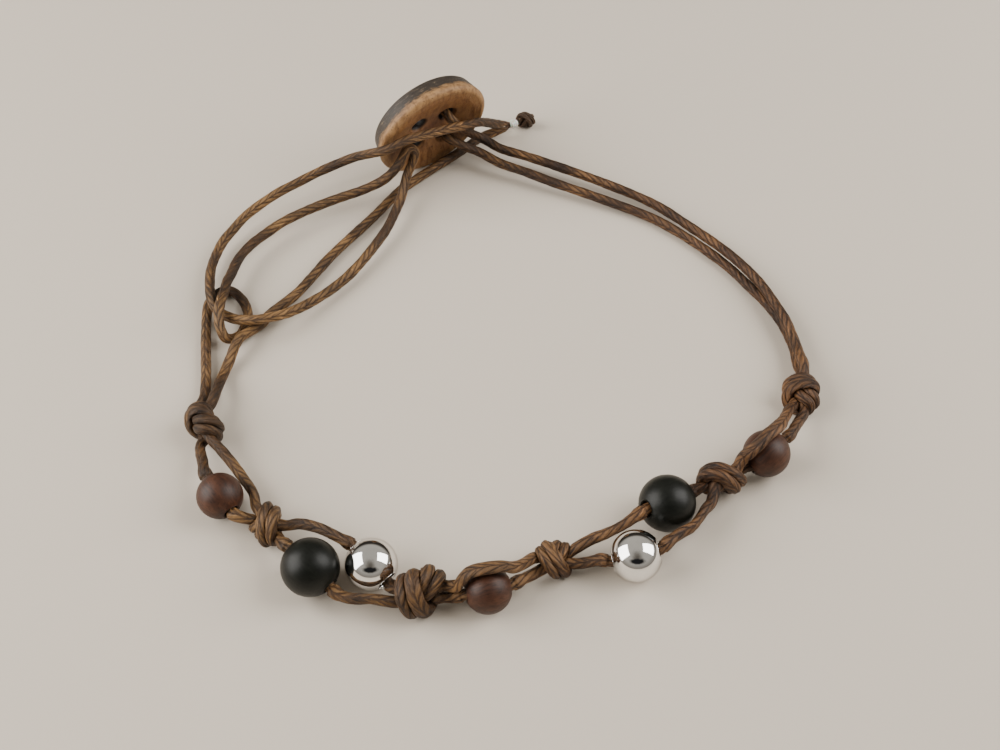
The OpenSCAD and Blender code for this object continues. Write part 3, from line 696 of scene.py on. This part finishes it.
def layCord():
    # rings at even steps along the whole cord, each with its radius and the stretch that it is in
    points = np.vstack([way for _, way in cordRoute])
    owner = np.repeat(np.arange(len(cordRoute)), [len(way) for _, way in cordRoute])
    radius = []
    for name, way in cordRoute:
        if name.startswith("knot"):
            grown = partWay(knotRows[:, 0], knotShape["tailFrom"])
            radius.append(knotRadii(int(name[-1])) * (cord["knotGrowth"] * (1 - grown) + grown))
        else:
            radius.append(np.full(len(way), cordRadius))
    radius = np.concatenate(radius)
    fine = smoothLine(points, cord["perSpan"])
    length = lengthAlong(fine)
    s = np.linspace(0, length[-1], int(length[-1] / cord["step"]))
    centre = placesAt(s, length, fine)
    where = np.interp(s, length, np.arange(len(fine)) / cord["perSpan"])
    belongs = owner[np.clip(np.rint(where).astype(int), 0, len(owner) - 1)]
    r = np.interp(where, np.arange(len(radius)), radius)
    thin = np.clip(np.minimum(s, length[-1] - s) / cord["thinLength"], 0, 1)
    r = cord["thinEnd"] + (r - cord["thinEnd"]) * np.sin(thin * math.pi / 2)
    # beside each knot the line is its own running mean, weighted by a bell curve
    reach = int(3 * cord["easing"] / cord["step"])
    bell = np.exp(-0.5 * (np.arange(-reach, reach + 1) * cord["step"] / cord["easing"]) ** 2)
    bell /= bell.sum()
    padded = np.pad(centre, ((reach, reach), (0, 0)), "edge")
    mean = np.stack([np.convolve(padded[:, i], bell, "valid") for i in range(3)], 1)
    edges = s[np.flatnonzero(np.diff(belongs))]
    away = np.abs(s[:, None] - edges[None]).min(1)
    share = np.exp(-(away / cord["easeReach"]) ** 2)[:, None]
    return s, centre * (1 - share) + mean * share, r, belongs


def carriedSides(centre):
    # a reference side direction, less its own turning about the cord, so that the sides never twist
    forward = unit(np.gradient(centre, axis=0))
    reference = np.array([0.31, 0.52, 0.79])
    side = unit(reference - (forward @ reference)[:, None] * forward)
    other = np.cross(forward, side)
    turning = np.concatenate([[0], np.cumsum((np.diff(side, axis=0) * other[1:]).sum(1))])[:, None]
    first = side * np.cos(-turning) + other * np.sin(-turning)
    return forward, first, np.cross(forward, first)


def alongRays(rays, direction):
    # how far each ray goes the way of its ring's direction
    return np.einsum("rkc,rc->rk", rays, direction)


def spreadOnKnots(centre, radius, owner, rays):
    # in a knot a ray grows as it turns from outwards to inwards, so that the wraps fill the
    # gaps between them and the outline stays
    out = np.repeat(radius[:, None], rays.shape[1], 1)
    soft = cord["growthEase"]
    for i, (name, _) in enumerate(cordRoute):
        if not name.startswith("knot"):
            continue
        rows = np.flatnonzero(owner == i)
        middle = np.array([*knotTable[int(name[-1])][:2], 0]) + toMiddle
        middle[2] = (centre[rows, 2].min() + centre[rows, 2].max()) / 2
        inwards = alongRays(rays[rows], unit(middle - centre[rows]))
        ease = np.clip((inwards + soft) / (2 * soft), 0, 1)
        count = np.arange(len(rows))
        ends = np.clip(np.minimum(count, count[::-1]) / cord["growthRings"], 0, 1)[:, None]
        out[rows] *= 1 + (cord["knotGrowth"] - 1) * ease * ease * (3 - 2 * ease) * ends
    return out


def laidOnBeads(centre, out, rays):
    # where a strand lies on a bead its round section becomes an ellipse, wide along the bead
    # and thin towards it, and no ray goes into the bead
    for name in beads:
        middle, size = beadCentre(name) + toMiddle, beads[name][4] / 2
        away = centre - middle
        far = np.linalg.norm(away, axis=1)
        # the rings outside the bead, and so not its own strand's, but near it
        rows = np.flatnonzero((far > size + 0.2) & (far < size + 2))
        share = np.clip((size + cord["beadReach"] - far[rows]) / cord["beadEase"], 0, 1)[:, None]
        across = np.abs(alongRays(rays[rows], unit(away[rows])))
        wide, thin = cord["flatWide"], cord["flatThin"]
        squashed = 1 / np.sqrt((1 - across ** 2) / wide ** 2 + across ** 2 / thin ** 2)
        out[rows] *= 1 + (squashed - 1) * share
        # distance along a ray to the bead's sphere: the smaller root of |a + t d| = size
        b = alongRays(rays[rows], away[rows])
        root = b * b - (far[rows, None] ** 2 - (size + cord["beadGap"]) ** 2)
        stop = np.where((root > 0) & (b < 0), -b - np.sqrt(np.maximum(root, 0)), noStop)
        out[rows] = np.minimum(out[rows], stop)
    return out


def pressed(s, centre, out, rays, apart, least):
    # a ray from a ring's middle stops halfway to any other stretch of the cord, so that
    # neighbours lie flat against each other; rays is (rings, sides, 3). Another stretch is at
    # least this far apart along the cord, and no ray gets shorter than the least.
    out = out.copy()
    others = np.arange(0, len(s), 2)
    batch, soft = 160, cord["pressSoft"]
    for start in range(0, len(s), batch):
        rows = slice(start, min(start + batch, len(s)))
        gap = centre[others][None] - centre[rows][:, None]
        size = (gap ** 2).sum(2)
        near = (size < cord["pressReach"] ** 2) & (np.abs(s[others][None] - s[rows][:, None]) > apart)
        use = near.any(0)
        if not use.any():
            continue
        gap, size, near = gap[:, use], size[:, use], near[:, use]
        along = np.einsum("rkc,rnc->rkn", rays[rows], gap)
        stop = size[:, None] / (2 * np.maximum(along, 1e-4))
        stop = np.where(near[:, None] & (along > 0), stop, noStop) - cord["pressGap"]
        nearest = stop.min(2)
        # a soft minimum keeps the pressed edges round
        low = -soft * np.log(np.exp(-out[rows] / soft) + np.exp(-nearest / soft))
        out[rows] = np.minimum(np.where(nearest < 2, low, out[rows]), out[rows])
    return np.maximum(out, least)


def braid(s, angle, wander):
    # columns of slanting stitches round the cord, slanting the other way in each next column:
    # a stitch is a rounded ridge, and the groove between two columns dips. Gives the height from
    # 0 to 1 and the place in the stitch, across and along, for the fibres.
    slant = math.radians(cord["slant"])
    width = 2 * math.pi * cordRadius / cord["columns"]
    u = (cord["columns"] * angle / (2 * math.pi))[None, :] + np.zeros((len(s), 1))
    column = np.floor(u)
    x = u - column - 0.5
    sign = np.where(column % 2 == 0, 1, -1)
    shear = width / (cord["stitch"] * math.tan(slant))
    phase = (s + wander)[:, None] / cord["stitch"] + 0.5 * (column % 2) + sign * x * shear
    across = phase - np.floor(phase) - 0.5
    ridge = np.sqrt(np.clip(1 - (cord["ridge"] * across) ** 2, 0, 1))
    edge = np.clip((0.5 - np.abs(x)) / cord["grooveWide"], 0, 1)
    height = ridge * (1 - cord["groove"] + cord["groove"] * np.sqrt(edge))
    along = s[:, None] * math.cos(slant) + sign * x * width * math.sin(slant)
    own = column * cord["ownFibres"][0] + np.floor(phase) * cord["ownFibres"][1]
    return height, np.stack([phase, along * cord["fibreLength"], own], 2)


def waves(s, count, shortest, longest):
    # a sum of sines of random length gives slow, seeded unevenness between -1 and 1
    lengths = rng.uniform(shortest, longest, count)
    phases = rng.uniform(0, 2 * math.pi, count)
    return np.sin(2 * math.pi * s[:, None] / lengths + phases).sum(1) / count


def wallPoints(centre, out, rays):
    # a ring's middle plus the length of each ray, and nothing is below the table
    points = centre[:, None] + out[:, :, None] * rays
    points[:, :, 2] = np.maximum(points[:, :, 2], cord["floorGap"])
    return points


def makeCord(material):
    # rays round the one line, made longer or shorter in turn by unevenness, knots, beads,
    # neighbours, bends and the braid
    s, centre, radius, owner = layCord()
    centre = centre + toMiddle
    forward, first, second = carriedSides(centre)
    angle = evenAngles(cord["sides"])
    rays = raysAround(angle, first, second)
    radius = radius * (1 + cord["thicker"] * waves(s, *cord["thickWaves"]))
    free = laidOnBeads(centre, spreadOnKnots(centre, radius, owner, rays), rays)
    r = pressed(s, centre, free, rays, cord["apart"], cord["least"])
    # on the inside of a tight bend the wall stops short of the bend's middle
    towards = alongRays(rays, np.gradient(forward, axis=0) / cord["step"])
    r = np.minimum(r, cord["bendShare"] / np.maximum(towards, 1e-3))
    flat = np.clip((free - r) / cord["flatAt"], 0, 1)
    height, fibres = braid(s, angle, cord["longer"] * waves(s, *cord["longWaves"]))
    uneven = cord["shallow"] + cord["deeper"] * waves(s, *cord["deepWaves"])[:, None]
    r = r - cord["braidDepth"] * (1 - height) * uneven * (1 - 0.5 * flat)
    points = wallPoints(centre, r, rays)
    stretches = {}
    for i, (name, _) in enumerate(cordRoute):
        rows = np.flatnonzero(owner == i)
        # shares its last ring with the next stretch
        rows = np.arange(rows[0], min(rows[-1] + 2, len(s)))
        stretches.setdefault(name, []).append(rows)
    for name, parts in stretches.items():
        tubePiece(name, parts, points, height, fibres, material, "cord")
    print("stage: cord,", round(float(s[-1])), "mm in", len(stretches), "pieces")


def tubePiece(name, parts, points, height, fibres, material, slot):
    # each part is a run of rings, closed at both ends by a fan
    n = cord["sides"]
    spots, quads, fans, heights, spaces, marked = [], [], [], [], [], []
    base = 0
    for rows in parts:
        m, ends = len(rows), rows[[0, -1]]
        quads.append(gridQuads(m, n)[:, ::-1] + base)
        fans.append(endFans(m, n) + base)
        spots += [points[rows].reshape(-1, 3), points[ends].mean(1)]
        heights += [height[rows].ravel(), [0.5, 0.5]]
        spaces += [fibres[rows].reshape(-1, 3), fibres[ends, 0]]
        marked += [base + np.arange(n), base + (m - 1) * n + np.arange(n)]
        base += m * n + 2
    attributes = {"stitchHeight": np.concatenate(heights), "fibreSpace": np.vstack(spaces)}
    piece = newObject("cord_" + name, np.vstack(spots), np.vstack(quads), np.vstack(fans), material,
                      attributes, np.concatenate(marked))
    settle(piece, slot, name)


makeCord(cordMaterial("waxedCord", cordLook))


# divisions along and round, in a lip and in a bore, and the lip's radius
beadForm = {"rings": 64, "around": 96, "lipRings": 7, "boreRings": 12, "lip": 0.16}


def beadMesh(name, material):
    # a circle's arc from one mouth of the bore to the other, a rounded lip, and the bore's wall,
    # turned about the bore: both ways closed
    _, _, turnTo, pitch, d, bore = beads[name]
    radius, hole, lip = d / 2, bore / 2, beadForm["lip"]
    mouth = math.asin((hole + lip) / radius)
    a = np.linspace(mouth, math.pi - mouth, beadForm["rings"])
    outer = np.stack([radius * np.sin(a), radius * np.cos(a)], 1)
    end = outer[0, 1]
    a = np.linspace(math.pi / 2 - mouth, math.pi, beadForm["lipRings"])[1:]
    lipPoints = np.stack([hole + lip + lip * np.cos(a), end - lip + lip * np.sin(a)], 1)
    wall = np.linspace(end - lip, -(end - lip), beadForm["boreRings"])[1:-1]
    wallLine = np.stack([np.full(len(wall), hole), wall], 1)
    profile = np.vstack([outer, lipPoints * [1, -1], wallLine[::-1], lipPoints[::-1]])
    axis = heading(turnTo, pitch)
    points = turnedPoints(profile[:, :1], profile[:, 1], beadCentre(name) + toMiddle, axis,
                          levelSide(axis), beadForm["around"])
    quads = gridQuads(len(profile), beadForm["around"], closedAlong=True)
    return newObject("bead_" + name, points.reshape(-1, 3), quads, [], material)


def beadTurn(name):
    # the turn that lays a pattern's Z along the bore
    return Vector(heading(beads[name][2], beads[name][3])).to_track_quat("Z", "Y").to_euler()


woodLook = {
    "brown": {"dark": (0.026, 0.0092, 0.005), "mid": (0.050, 0.018, 0.009),
              "light": (0.078, 0.029, 0.014), "roughness": 0.48, "gloss": 0.34},
    "black": {"dark": (0.0028, 0.0034, 0.0026), "mid": (0.005, 0.006, 0.0045),
              "light": (0.008, 0.009, 0.007), "roughness": 0.38, "gloss": 0.24},
}
woodGrain = {
    "size": (0.001, 0.001, 0.004),   # the pattern's unit in metres, long down the bore
    "grain": (0.9, 5.0, 0.6, 0.6), "pores": (5.0, 3.0, 0.7),
    "poreTint": [(0.36, (0.45, 0.42, 0.4)), (0.5, 1)],
    "poreBump": (0.00004, 0.4),
}
silverLook = {"dull": (0.80, 0.80, 0.80), "bright": (0.90, 0.89, 0.88), "smear": (500.0, 3.0, 0.5),
              "outline": (0.62, 0.60, 0.58), "roughness": (0.03, 0.10)}


def woodMaterial(name, look, bead):
    # long grain along the bore: noise squeezed across the bead, and thin pores
    material, tree, shader = nodeTree(name)
    centre = (beadCentre(bead) + toMiddle) * mm
    own = mapped(tree, objectPlace(tree), tuple(centre), beadTurn(bead), woodGrain["size"])
    grain, pores = (noise(tree, own, *woodGrain[key]) for key in ("grain", "pores"))
    colour = ramp(tree, grain, [(0.34, look["dark"]), (0.5, look["mid"]), (0.66, look["light"])])
    colour = tinted(tree, colour, pores, woodGrain["poreTint"], 0.75)
    feed(tree, colour, shader.inputs["Base Color"])
    shader.inputs["Roughness"].default_value = look["roughness"]
    shader.inputs["Specular IOR Level"].default_value = look["gloss"]
    bump(tree, pores, *woodGrain["poreBump"], shader)
    return material


def silverMaterial():
    # a mirror with faint smears, duller towards its outline
    material, tree, shader = nodeTree("polishedSilver")
    smear = noise(tree, objectPlace(tree), *silverLook["smear"])
    feed(tree, ramp(tree, smear, [(0.3, silverLook["dull"]), (0.7, silverLook["bright"])]),
         shader.inputs["Base Color"])
    shader.inputs["Metallic"].default_value = 1.0
    shader.inputs["Specular Tint"].default_value = (*silverLook["outline"], 1)
    feed(tree, between(tree, smear, 0, 1, *silverLook["roughness"]), shader.inputs["Roughness"])
    return material


silver = silverMaterial()
for bead in beads:
    kind = bead.split("_")[0]
    if kind == "silver":
        settle(beadMesh(bead, silver), "silver_metal", bead)
    else:
        material = woodMaterial(kind + "Wood" + bead.split("_")[-1].title(), woodLook[kind], bead)
        settle(beadMesh(bead, material), kind + "_wood", bead)
print("stage: beads,", len(beads))


buttonLook = {
    # the centre colour is painted shadow of the cords, darkest on the axis
    "centre": (0.115, 0.048, 0.020), "middle": (0.225, 0.112, 0.045), "rim": (0.295, 0.170, 0.074),
    "edge": (0.032, 0.024, 0.018), "edgePale": (0.190, 0.140, 0.090), "fleck": (0.050, 0.026, 0.012),
    # hole is painted shade that fills the holes, and also the darkest scratches on the edge
    "hole": (0.010, 0.006, 0.004),
    "layer": (-0.9, -1.4), "back": -2.2,   # heights behind the face: the dark layer begins, is full
    "layerFrom": 6.9,                      # and it shows only this far from the axis
    "faceWide": 8.0,                       # the radius at which the face's ramp ends
    "wander": (0.35, 3.0, 0.5), "wanderWide": 2.4,
    "streaks": (1.6, 5.0, 0.65, 0.3), "streakScale": (1, 3.5, 1),
    "streakTint": [(0.35, (0.62, 0.52, 0.45)), (0.6, (1.2, 1.16, 1.1))],
    "specks": (4.5, 2.0, 0.6),
    "rings": (1.3, 6.0, 0.75, 0.8), "ringScale": (1.6, 1.6, 0.30),   # scratches that run round the edge
    "torn": (2.2, 1.6),                    # how ragged the layer's border is: by scratches, by wander
    "roughness": (0.34, 0.62), "gloss": 0.4,
    "streakBump": (0.00006, 0.5), "ringBump": (0.00012, 0.6),
}


def buttonMaterial():
    # colour by the distance from the button's axis, darker towards the middle as painted shadow of the
    # cords, with fine streaks of shell; the edge is dark with pale scratches, and the holes get painted
    # shade
    material, tree, shader = nodeTree("coconutShell")
    look = buttonLook
    turnTo = Matrix((faceSide, faceUp, faceOut)).transposed().to_euler()
    own = mapped(tree, objectPlace(tree), tuple((buttonAt + toMiddle) * mm), turnTo, (mm, mm, mm))
    x, y, z = partsOf(tree, own)
    far = diagonal(tree, x, y)
    wander = minus(tree, noise(tree, own, *look["wander"]), 0.5)
    wide = plus(tree, far, times(tree, wander, look["wanderWide"]))
    # darker towards the middle: painted shadow of the cords
    face = ramp(tree, mathNode(tree, "DIVIDE", wide, look["faceWide"]), [
        (0.05, look["centre"]), (0.42, look["middle"]), (0.72, look["middle"]), (0.92, look["rim"])])
    streaks = noise(tree, mapped(tree, own, scale=look["streakScale"]), *look["streaks"])
    face = tinted(tree, face, streaks, look["streakTint"], 0.85)
    specks = ramp(tree, noise(tree, own, *look["specks"]), [(0.30, 1), (0.36, 0)])
    face = mixColour(tree, "MIX", specks, face, look["fleck"])
    rings = noise(tree, mapped(tree, own, scale=look["ringScale"]), *look["rings"])
    edge = ramp(tree, rings, [
        (0.30, look["hole"]), (0.46, look["edge"]), (0.56, look["edge"]), (0.66, look["edgePale"])])
    torn = plus(tree, times(tree, minus(tree, rings, 0.5), look["torn"][0]),
                times(tree, wander, look["torn"][1]))
    layer = between(tree, plus(tree, z, torn), *look["layer"])
    dark = times(tree, layer, mathNode(tree, "GREATER_THAN", far, look["layerFrom"]))
    # the same dark layer covers the back
    behind = mathNode(tree, "LESS_THAN", z, look["back"])
    colour = mixColour(tree, "MIX", mathNode(tree, "MAXIMUM", dark, behind), face, edge)
    # distance to the nearest of the four holes' axes
    fromHole = [minus(tree, mathNode(tree, "ABSOLUTE", minus(tree, place, middle)), half)
                for place, middle in ((x, button["holesSide"]), (y, button["holesUp"]))]
    toHole = mathNode(tree, "DIVIDE", diagonal(tree, *fromHole), button["holeDiameter"])
    # painted shade fills each hole and the edge of its mouth
    colour = mixColour(tree, "MIX", ramp(tree, toHole, [(0.52, 1), (0.66, 0)]), colour, look["hole"])
    feed(tree, colour, shader.inputs["Base Color"])
    feed(tree, between(tree, rings, 0, 1, *look["roughness"]), shader.inputs["Roughness"])
    shader.inputs["Specular IOR Level"].default_value = look["gloss"]
    bump(tree, rings, *look["ringBump"], shader, bump(tree, streaks, *look["streakBump"], shader))
    return material


def turnedSolid(name, profile, at, around, material):
    # a profile (radius, height) turned about the button's axis, with one point at each end
    ring = profile[1:-1]
    points = turnedPoints(ring[:, :1], ring[:, 1], at, faceOut, faceSide, around)
    poles = at + profile[[0, -1], 1:] * faceOut
    return newObject(name, np.vstack([points.reshape(-1, 3), poles]), gridQuads(len(ring), around),
                     endFans(len(ring), around), material)


def makeButton(material):
    b = button
    at = buttonAt + toMiddle
    body = turnedSolid("shell_button", buttonProfile(b["fine"]), at, b["around"], material)
    r, back = b["holeDiameter"] / 2, -b["thickness"]
    # each hole's cutter is a rod that flares at both faces, which rounds the hole's edges, and
    # its wider ends stand clear of them
    front, behind = 0.5, back - 0.4
    a = np.linspace(0, 1, 6)
    wide, deep = b["faceFlare"]
    flare = np.stack([r + wide * a ** 2, -b["dishDepth"] - deep + deep * a], 1)[::-1]
    wide, deep = b["backFlare"]
    backFlare = np.stack([r + wide * a ** 2, back + deep - deep * a], 1)
    cutProfile = np.vstack([[[0, front], [r + 0.75, front]], flare, backFlare,
                            [[r + 0.5, behind], [0, behind]]])
    cutters = bpy.data.collections.new("cutters")
    for i in (-1, 1):
        for j in (-1, 1):
            centre = at + (b["holesSide"] + i * half) * faceSide + (b["holesUp"] + j * half) * faceUp
            cutters.objects.link(turnedSolid("cutter", cutProfile, centre, b["holeAround"], material))
    modifier = body.modifiers.new("holes", "BOOLEAN")
    modifier.operation, modifier.solver = "DIFFERENCE", "EXACT"
    modifier.operand_type, modifier.collection = "COLLECTION", cutters
    bpy.context.view_layer.objects.active = body
    bpy.ops.object.modifier_apply(modifier=modifier.name)
    for cutter in list(cutters.objects):
        bpy.data.objects.remove(cutter)
    bpy.data.collections.remove(cutters)
    settle(body, "coconut_shell", "button")


makeButton(buttonMaterial())
print("stage: button")


binding = {"at": (0.7, 35.4, 1.5), "heading": 30, "fall": 10, "length": 1.2, "radius": 0.6,
           "bore": 0.35, "turns": 4, "groove": 0.14, "along": 60, "around": 48,
           "pale": (0.86, 0.85, 0.80), "shaded": (0.62, 0.60, 0.54), "clouds": (2500.0, 3.0, 0.6),
           "roughness": 0.3, "softness": 0.25, "softDepth": 0.0006, "bump": (0.00003, 0.4)}
endKnot = {"step": 0.05, "growth": 1.45, "stem": 0.25, "perSpan": 12, "stemRings": 25,
           "apart": 0.9, "least": 0.08,               # as in the cord's own table
           "finer": 1.6, "braidDepth": 0.035,         # the stitches of a thinner cord
           # the cord's two thinned ends, on their way into the thread
           "ends": (((0.1, 34.87, 1.14), (0.25, 34.97, 1.17), (0.55, 35.22, 1.33), (0.95, 35.5, 1.46)),
                    ((0.12, 35, 2.08), (0.25, 35.12, 1.96), (0.55, 35.33, 1.72), (0.95, 35.55, 1.5))),
           # the same painted shade in the stitches' grooves and painted highlight on their tops as on the
           # cord
           "look": {"grooveShade": (0.004, 0.0025, 0.002), "body": (0.036, 0.020, 0.012),
                    "stitchHighlight": (0.150, 0.090, 0.052), "left": (1, 1, 1), "right": (1, 1, 1),
                    "roughness": (0.35, 0.6)}}
bindingAt = np.array(binding["at"]) + toMiddle
bindingAxis = heading(binding["heading"], -binding["fall"])


def bindingMaterial():
    material, tree, shader = nodeTree("bindingThread")
    cloudy = noise(tree, objectPlace(tree), *binding["clouds"])
    feed(tree, ramp(tree, cloudy, [(0.3, binding["shaded"]), (0.7, binding["pale"])]),
         shader.inputs["Base Color"])
    for key, value in (("Roughness", "roughness"), ("Subsurface Weight", "softness"),
                       ("Subsurface Scale", "softDepth")):
        shader.inputs[key].default_value = binding[value]
    bump(tree, cloudy, *binding["bump"], shader)
    return material


def makeBinding(material):
    # a tube whose radius swells once for each turn of thread, wound as a helix, and is drawn in at
    # both ends, and a plain bore
    t, a = np.linspace(0, 1, binding["along"]), evenAngles(binding["around"])
    phase = binding["turns"] * t[:, None] - a[None] / (2 * math.pi)
    swell = np.abs(np.sin(math.pi * phase)) ** 0.7
    bulge = np.sin(math.pi * np.clip(t * 0.9 + 0.05, 0, 1))[:, None] ** 0.25
    r = binding["radius"] * bulge * (1 - binding["groove"] + binding["groove"] * swell)
    r = np.vstack([r, np.full((2, len(a)), binding["bore"])])
    t = np.append(t, [1, 0])
    points = turnedPoints(r, t * binding["length"], bindingAt, bindingAxis, levelSide(bindingAxis),
                          len(a))
    quads = gridQuads(len(t), len(a), closedAlong=True)
    piece = newObject("thread_binding", points.reshape(-1, 3), quads, [], material)
    settle(piece, "binding_thread", "binding")


def makeEndKnot(material):
    # the two thin ends tied in the same knot, the short stem that the thread is wound round, and
    # the ends of the two strands that lead into it
    look = endKnot
    runs, radii = [], []
    for side in (-1, 1):
        fine = smoothLine(knotLine(7, side), look["perSpan"])
        length = lengthAlong(fine)
        s = np.arange(0, length[-1], look["step"])
        runs.append(placesAt(s, length, fine) + toMiddle)
        row = np.interp(s, length, np.arange(len(fine)) / look["perSpan"])
        radii.append(np.interp(row, np.arange(len(knotRows)), knotRadii(7)))
    knotted = len(runs[0]) + len(runs[1])
    stem = np.linspace(0, binding["length"], look["stemRings"])
    runs.append(bindingAt + stem[:, None] * bindingAxis)
    radii.append(np.full(len(stem), look["stem"]))
    for way in look["ends"]:
        runs.append(smoothLine(np.array(way), look["perSpan"]) + toMiddle)
        radii.append(np.linspace(cord["thinEnd"], look["stem"], len(runs[-1])))
    counts = [len(run) for run in runs]
    centre, radius = np.vstack(runs), np.concatenate(radii)
    # each run is numbered as if it lay far along the cord, so that it presses on the others
    farOn = 50
    s = np.arange(len(centre)) * look["step"] + farOn * np.repeat(np.arange(len(runs)), counts)
    angle = evenAngles(cord["sides"])
    rays = np.vstack([raysAround(angle, *carriedSides(run)[1:]) for run in runs])
    out = np.repeat(radius[:, None], len(angle), 1)
    knot = slice(0, knotted)
    inwards = alongRays(rays[knot], unit(centre[knot].mean(0) - centre[knot]))
    out[knot] *= 1 + (look["growth"] - 1) * np.clip(0.5 + inwards, 0, 1)
    out[knot] = pressed(s[knot], centre[knot], out[knot], rays[knot], look["apart"], look["least"])
    height, fibres = braid(s * look["finer"], angle, np.zeros(len(s)))
    out -= look["braidDepth"] * (1 - height)
    parts = np.split(np.arange(len(s)), np.cumsum(counts)[:-1])
    tubePiece("end_knot", parts, wallPoints(centre, out, rays), height, fibres, material, "dark_cord")


makeEndKnot(cordMaterial("darkCord", endKnot["look"]))
makeBinding(bindingMaterial())
print("stage: binding and end knot")


stageLook = {
    "floor": (0.60, 0.535, 0.455), "floorReach": 3000.0, "floorRoughness": 0.85,
    # place and size in metres, power in watts, colour
    "lights": {"leftSoftbox": ((-0.30, -0.03, 0.18), (0.34, 0.30), 2.2, (1.0, 0.97, 0.93)),
               "rightSoftbox": ((0.265, 0.02, 0.218), (0.23, 0.30), 1.4, (1.0, 0.98, 0.95))},
    "ceiling": (0.88, 0.82, 0.72), "horizon": (0.46, 0.41, 0.35), "behind": (0.07, 0.06, 0.05),
    # dark patches on the near side: height in degrees, reach sideways and up, softness, colour
    "patches": [(52, (0.66, 0.80), (1.0, 0.25), (0.24, 0.21, 0.175)),
                (34, (0.80, 0.33), (1.0, 0.60), (0.030, 0.029, 0.030))],
    "ragged": (5.0, 2.0, 0.5), "raggedness": 0.3,   # their edges
    "lowSlope": 1.1,       # how fast the dark behind fades upwards
    "farFade": 4.0,        # how fast the patches end beside the bracelet
    "airStrength": 0.56,
}


def makeFloor():
    corners = np.array([[-1, -1, 0], [1, -1, 0], [1, 1, 0], [-1, 1, 0]]) * stageLook["floorReach"]
    material, tree, shader = nodeTree("paleTable")
    feed(tree, stageLook["floor"], shader.inputs["Base Color"])
    shader.inputs["Roughness"].default_value = stageLook["floorRoughness"]
    floor = newObject("floor", corners, [[0, 1, 2, 3]], [], material)


def makeLight(name, place, size, power, colour):
    data = bpy.data.lights.new(name, "AREA")
    data.shape = "RECTANGLE"
    data.size, data.size_y = size
    data.energy = power
    data.color = colour
    light = bpy.data.objects.new(name, data)
    light.location = place
    light.rotation_euler = (-Vector(place)).to_track_quat("-Z", "Y").to_euler()
    bpy.context.scene.collection.objects.link(light)


def makeAir():
    # a pale ceiling, darker low down behind, and dark patches on the near side, where the camera is
    look = stageLook
    world = bpy.data.worlds.new("studioAir")
    world.use_nodes = True
    tree = world.node_tree
    way = tree.nodes.new("ShaderNodeTexCoord").outputs["Generated"]
    x, y, z = partsOf(tree, way)
    sky = ramp(tree, z, [(0.0, look["horizon"]), (0.5, look["ceiling"])])
    low = ramp(tree, minus(tree, y, times(tree, z, look["lowSlope"])), [(0.25, 0), (0.6, 1)])
    sky = mixColour(tree, "MIX", low, sky, look["behind"])
    ragged = times(tree, noise(tree, way, *look["ragged"]), look["raggedness"])
    front = times(tree, y, look["farFade"])
    for height, reach, soft, tone in look["patches"]:
        # distance from the patch's middle, taken as an ellipse, and none of it on the far side
        up = math.radians(height)
        lifted = addNode(tree, "ShaderNodeVectorMath", operation="DOT_PRODUCT")
        lifted.inputs[1].default_value = (0, math.sin(up) / reach[1], math.cos(up) / reach[1])
        tree.links.new(way, lifted.inputs[0])
        far = diagonal(tree, mathNode(tree, "DIVIDE", x, reach[0]), lifted.outputs["Value"])
        far = mathNode(tree, "MAXIMUM", plus(tree, far, ragged), front)
        sky = mixColour(tree, "MIX", ramp(tree, far, [(soft[1], 1), (soft[0], 0)]), sky, tone)
    background = tree.nodes["Background"]
    feed(tree, sky, background.inputs["Color"])
    background.inputs["Strength"].default_value = look["airStrength"]
    bpy.context.scene.world = world


makeFloor()
for name, values in stageLook["lights"].items():
    makeLight(name, *values)
makeAir()
print("stage: floor and light")
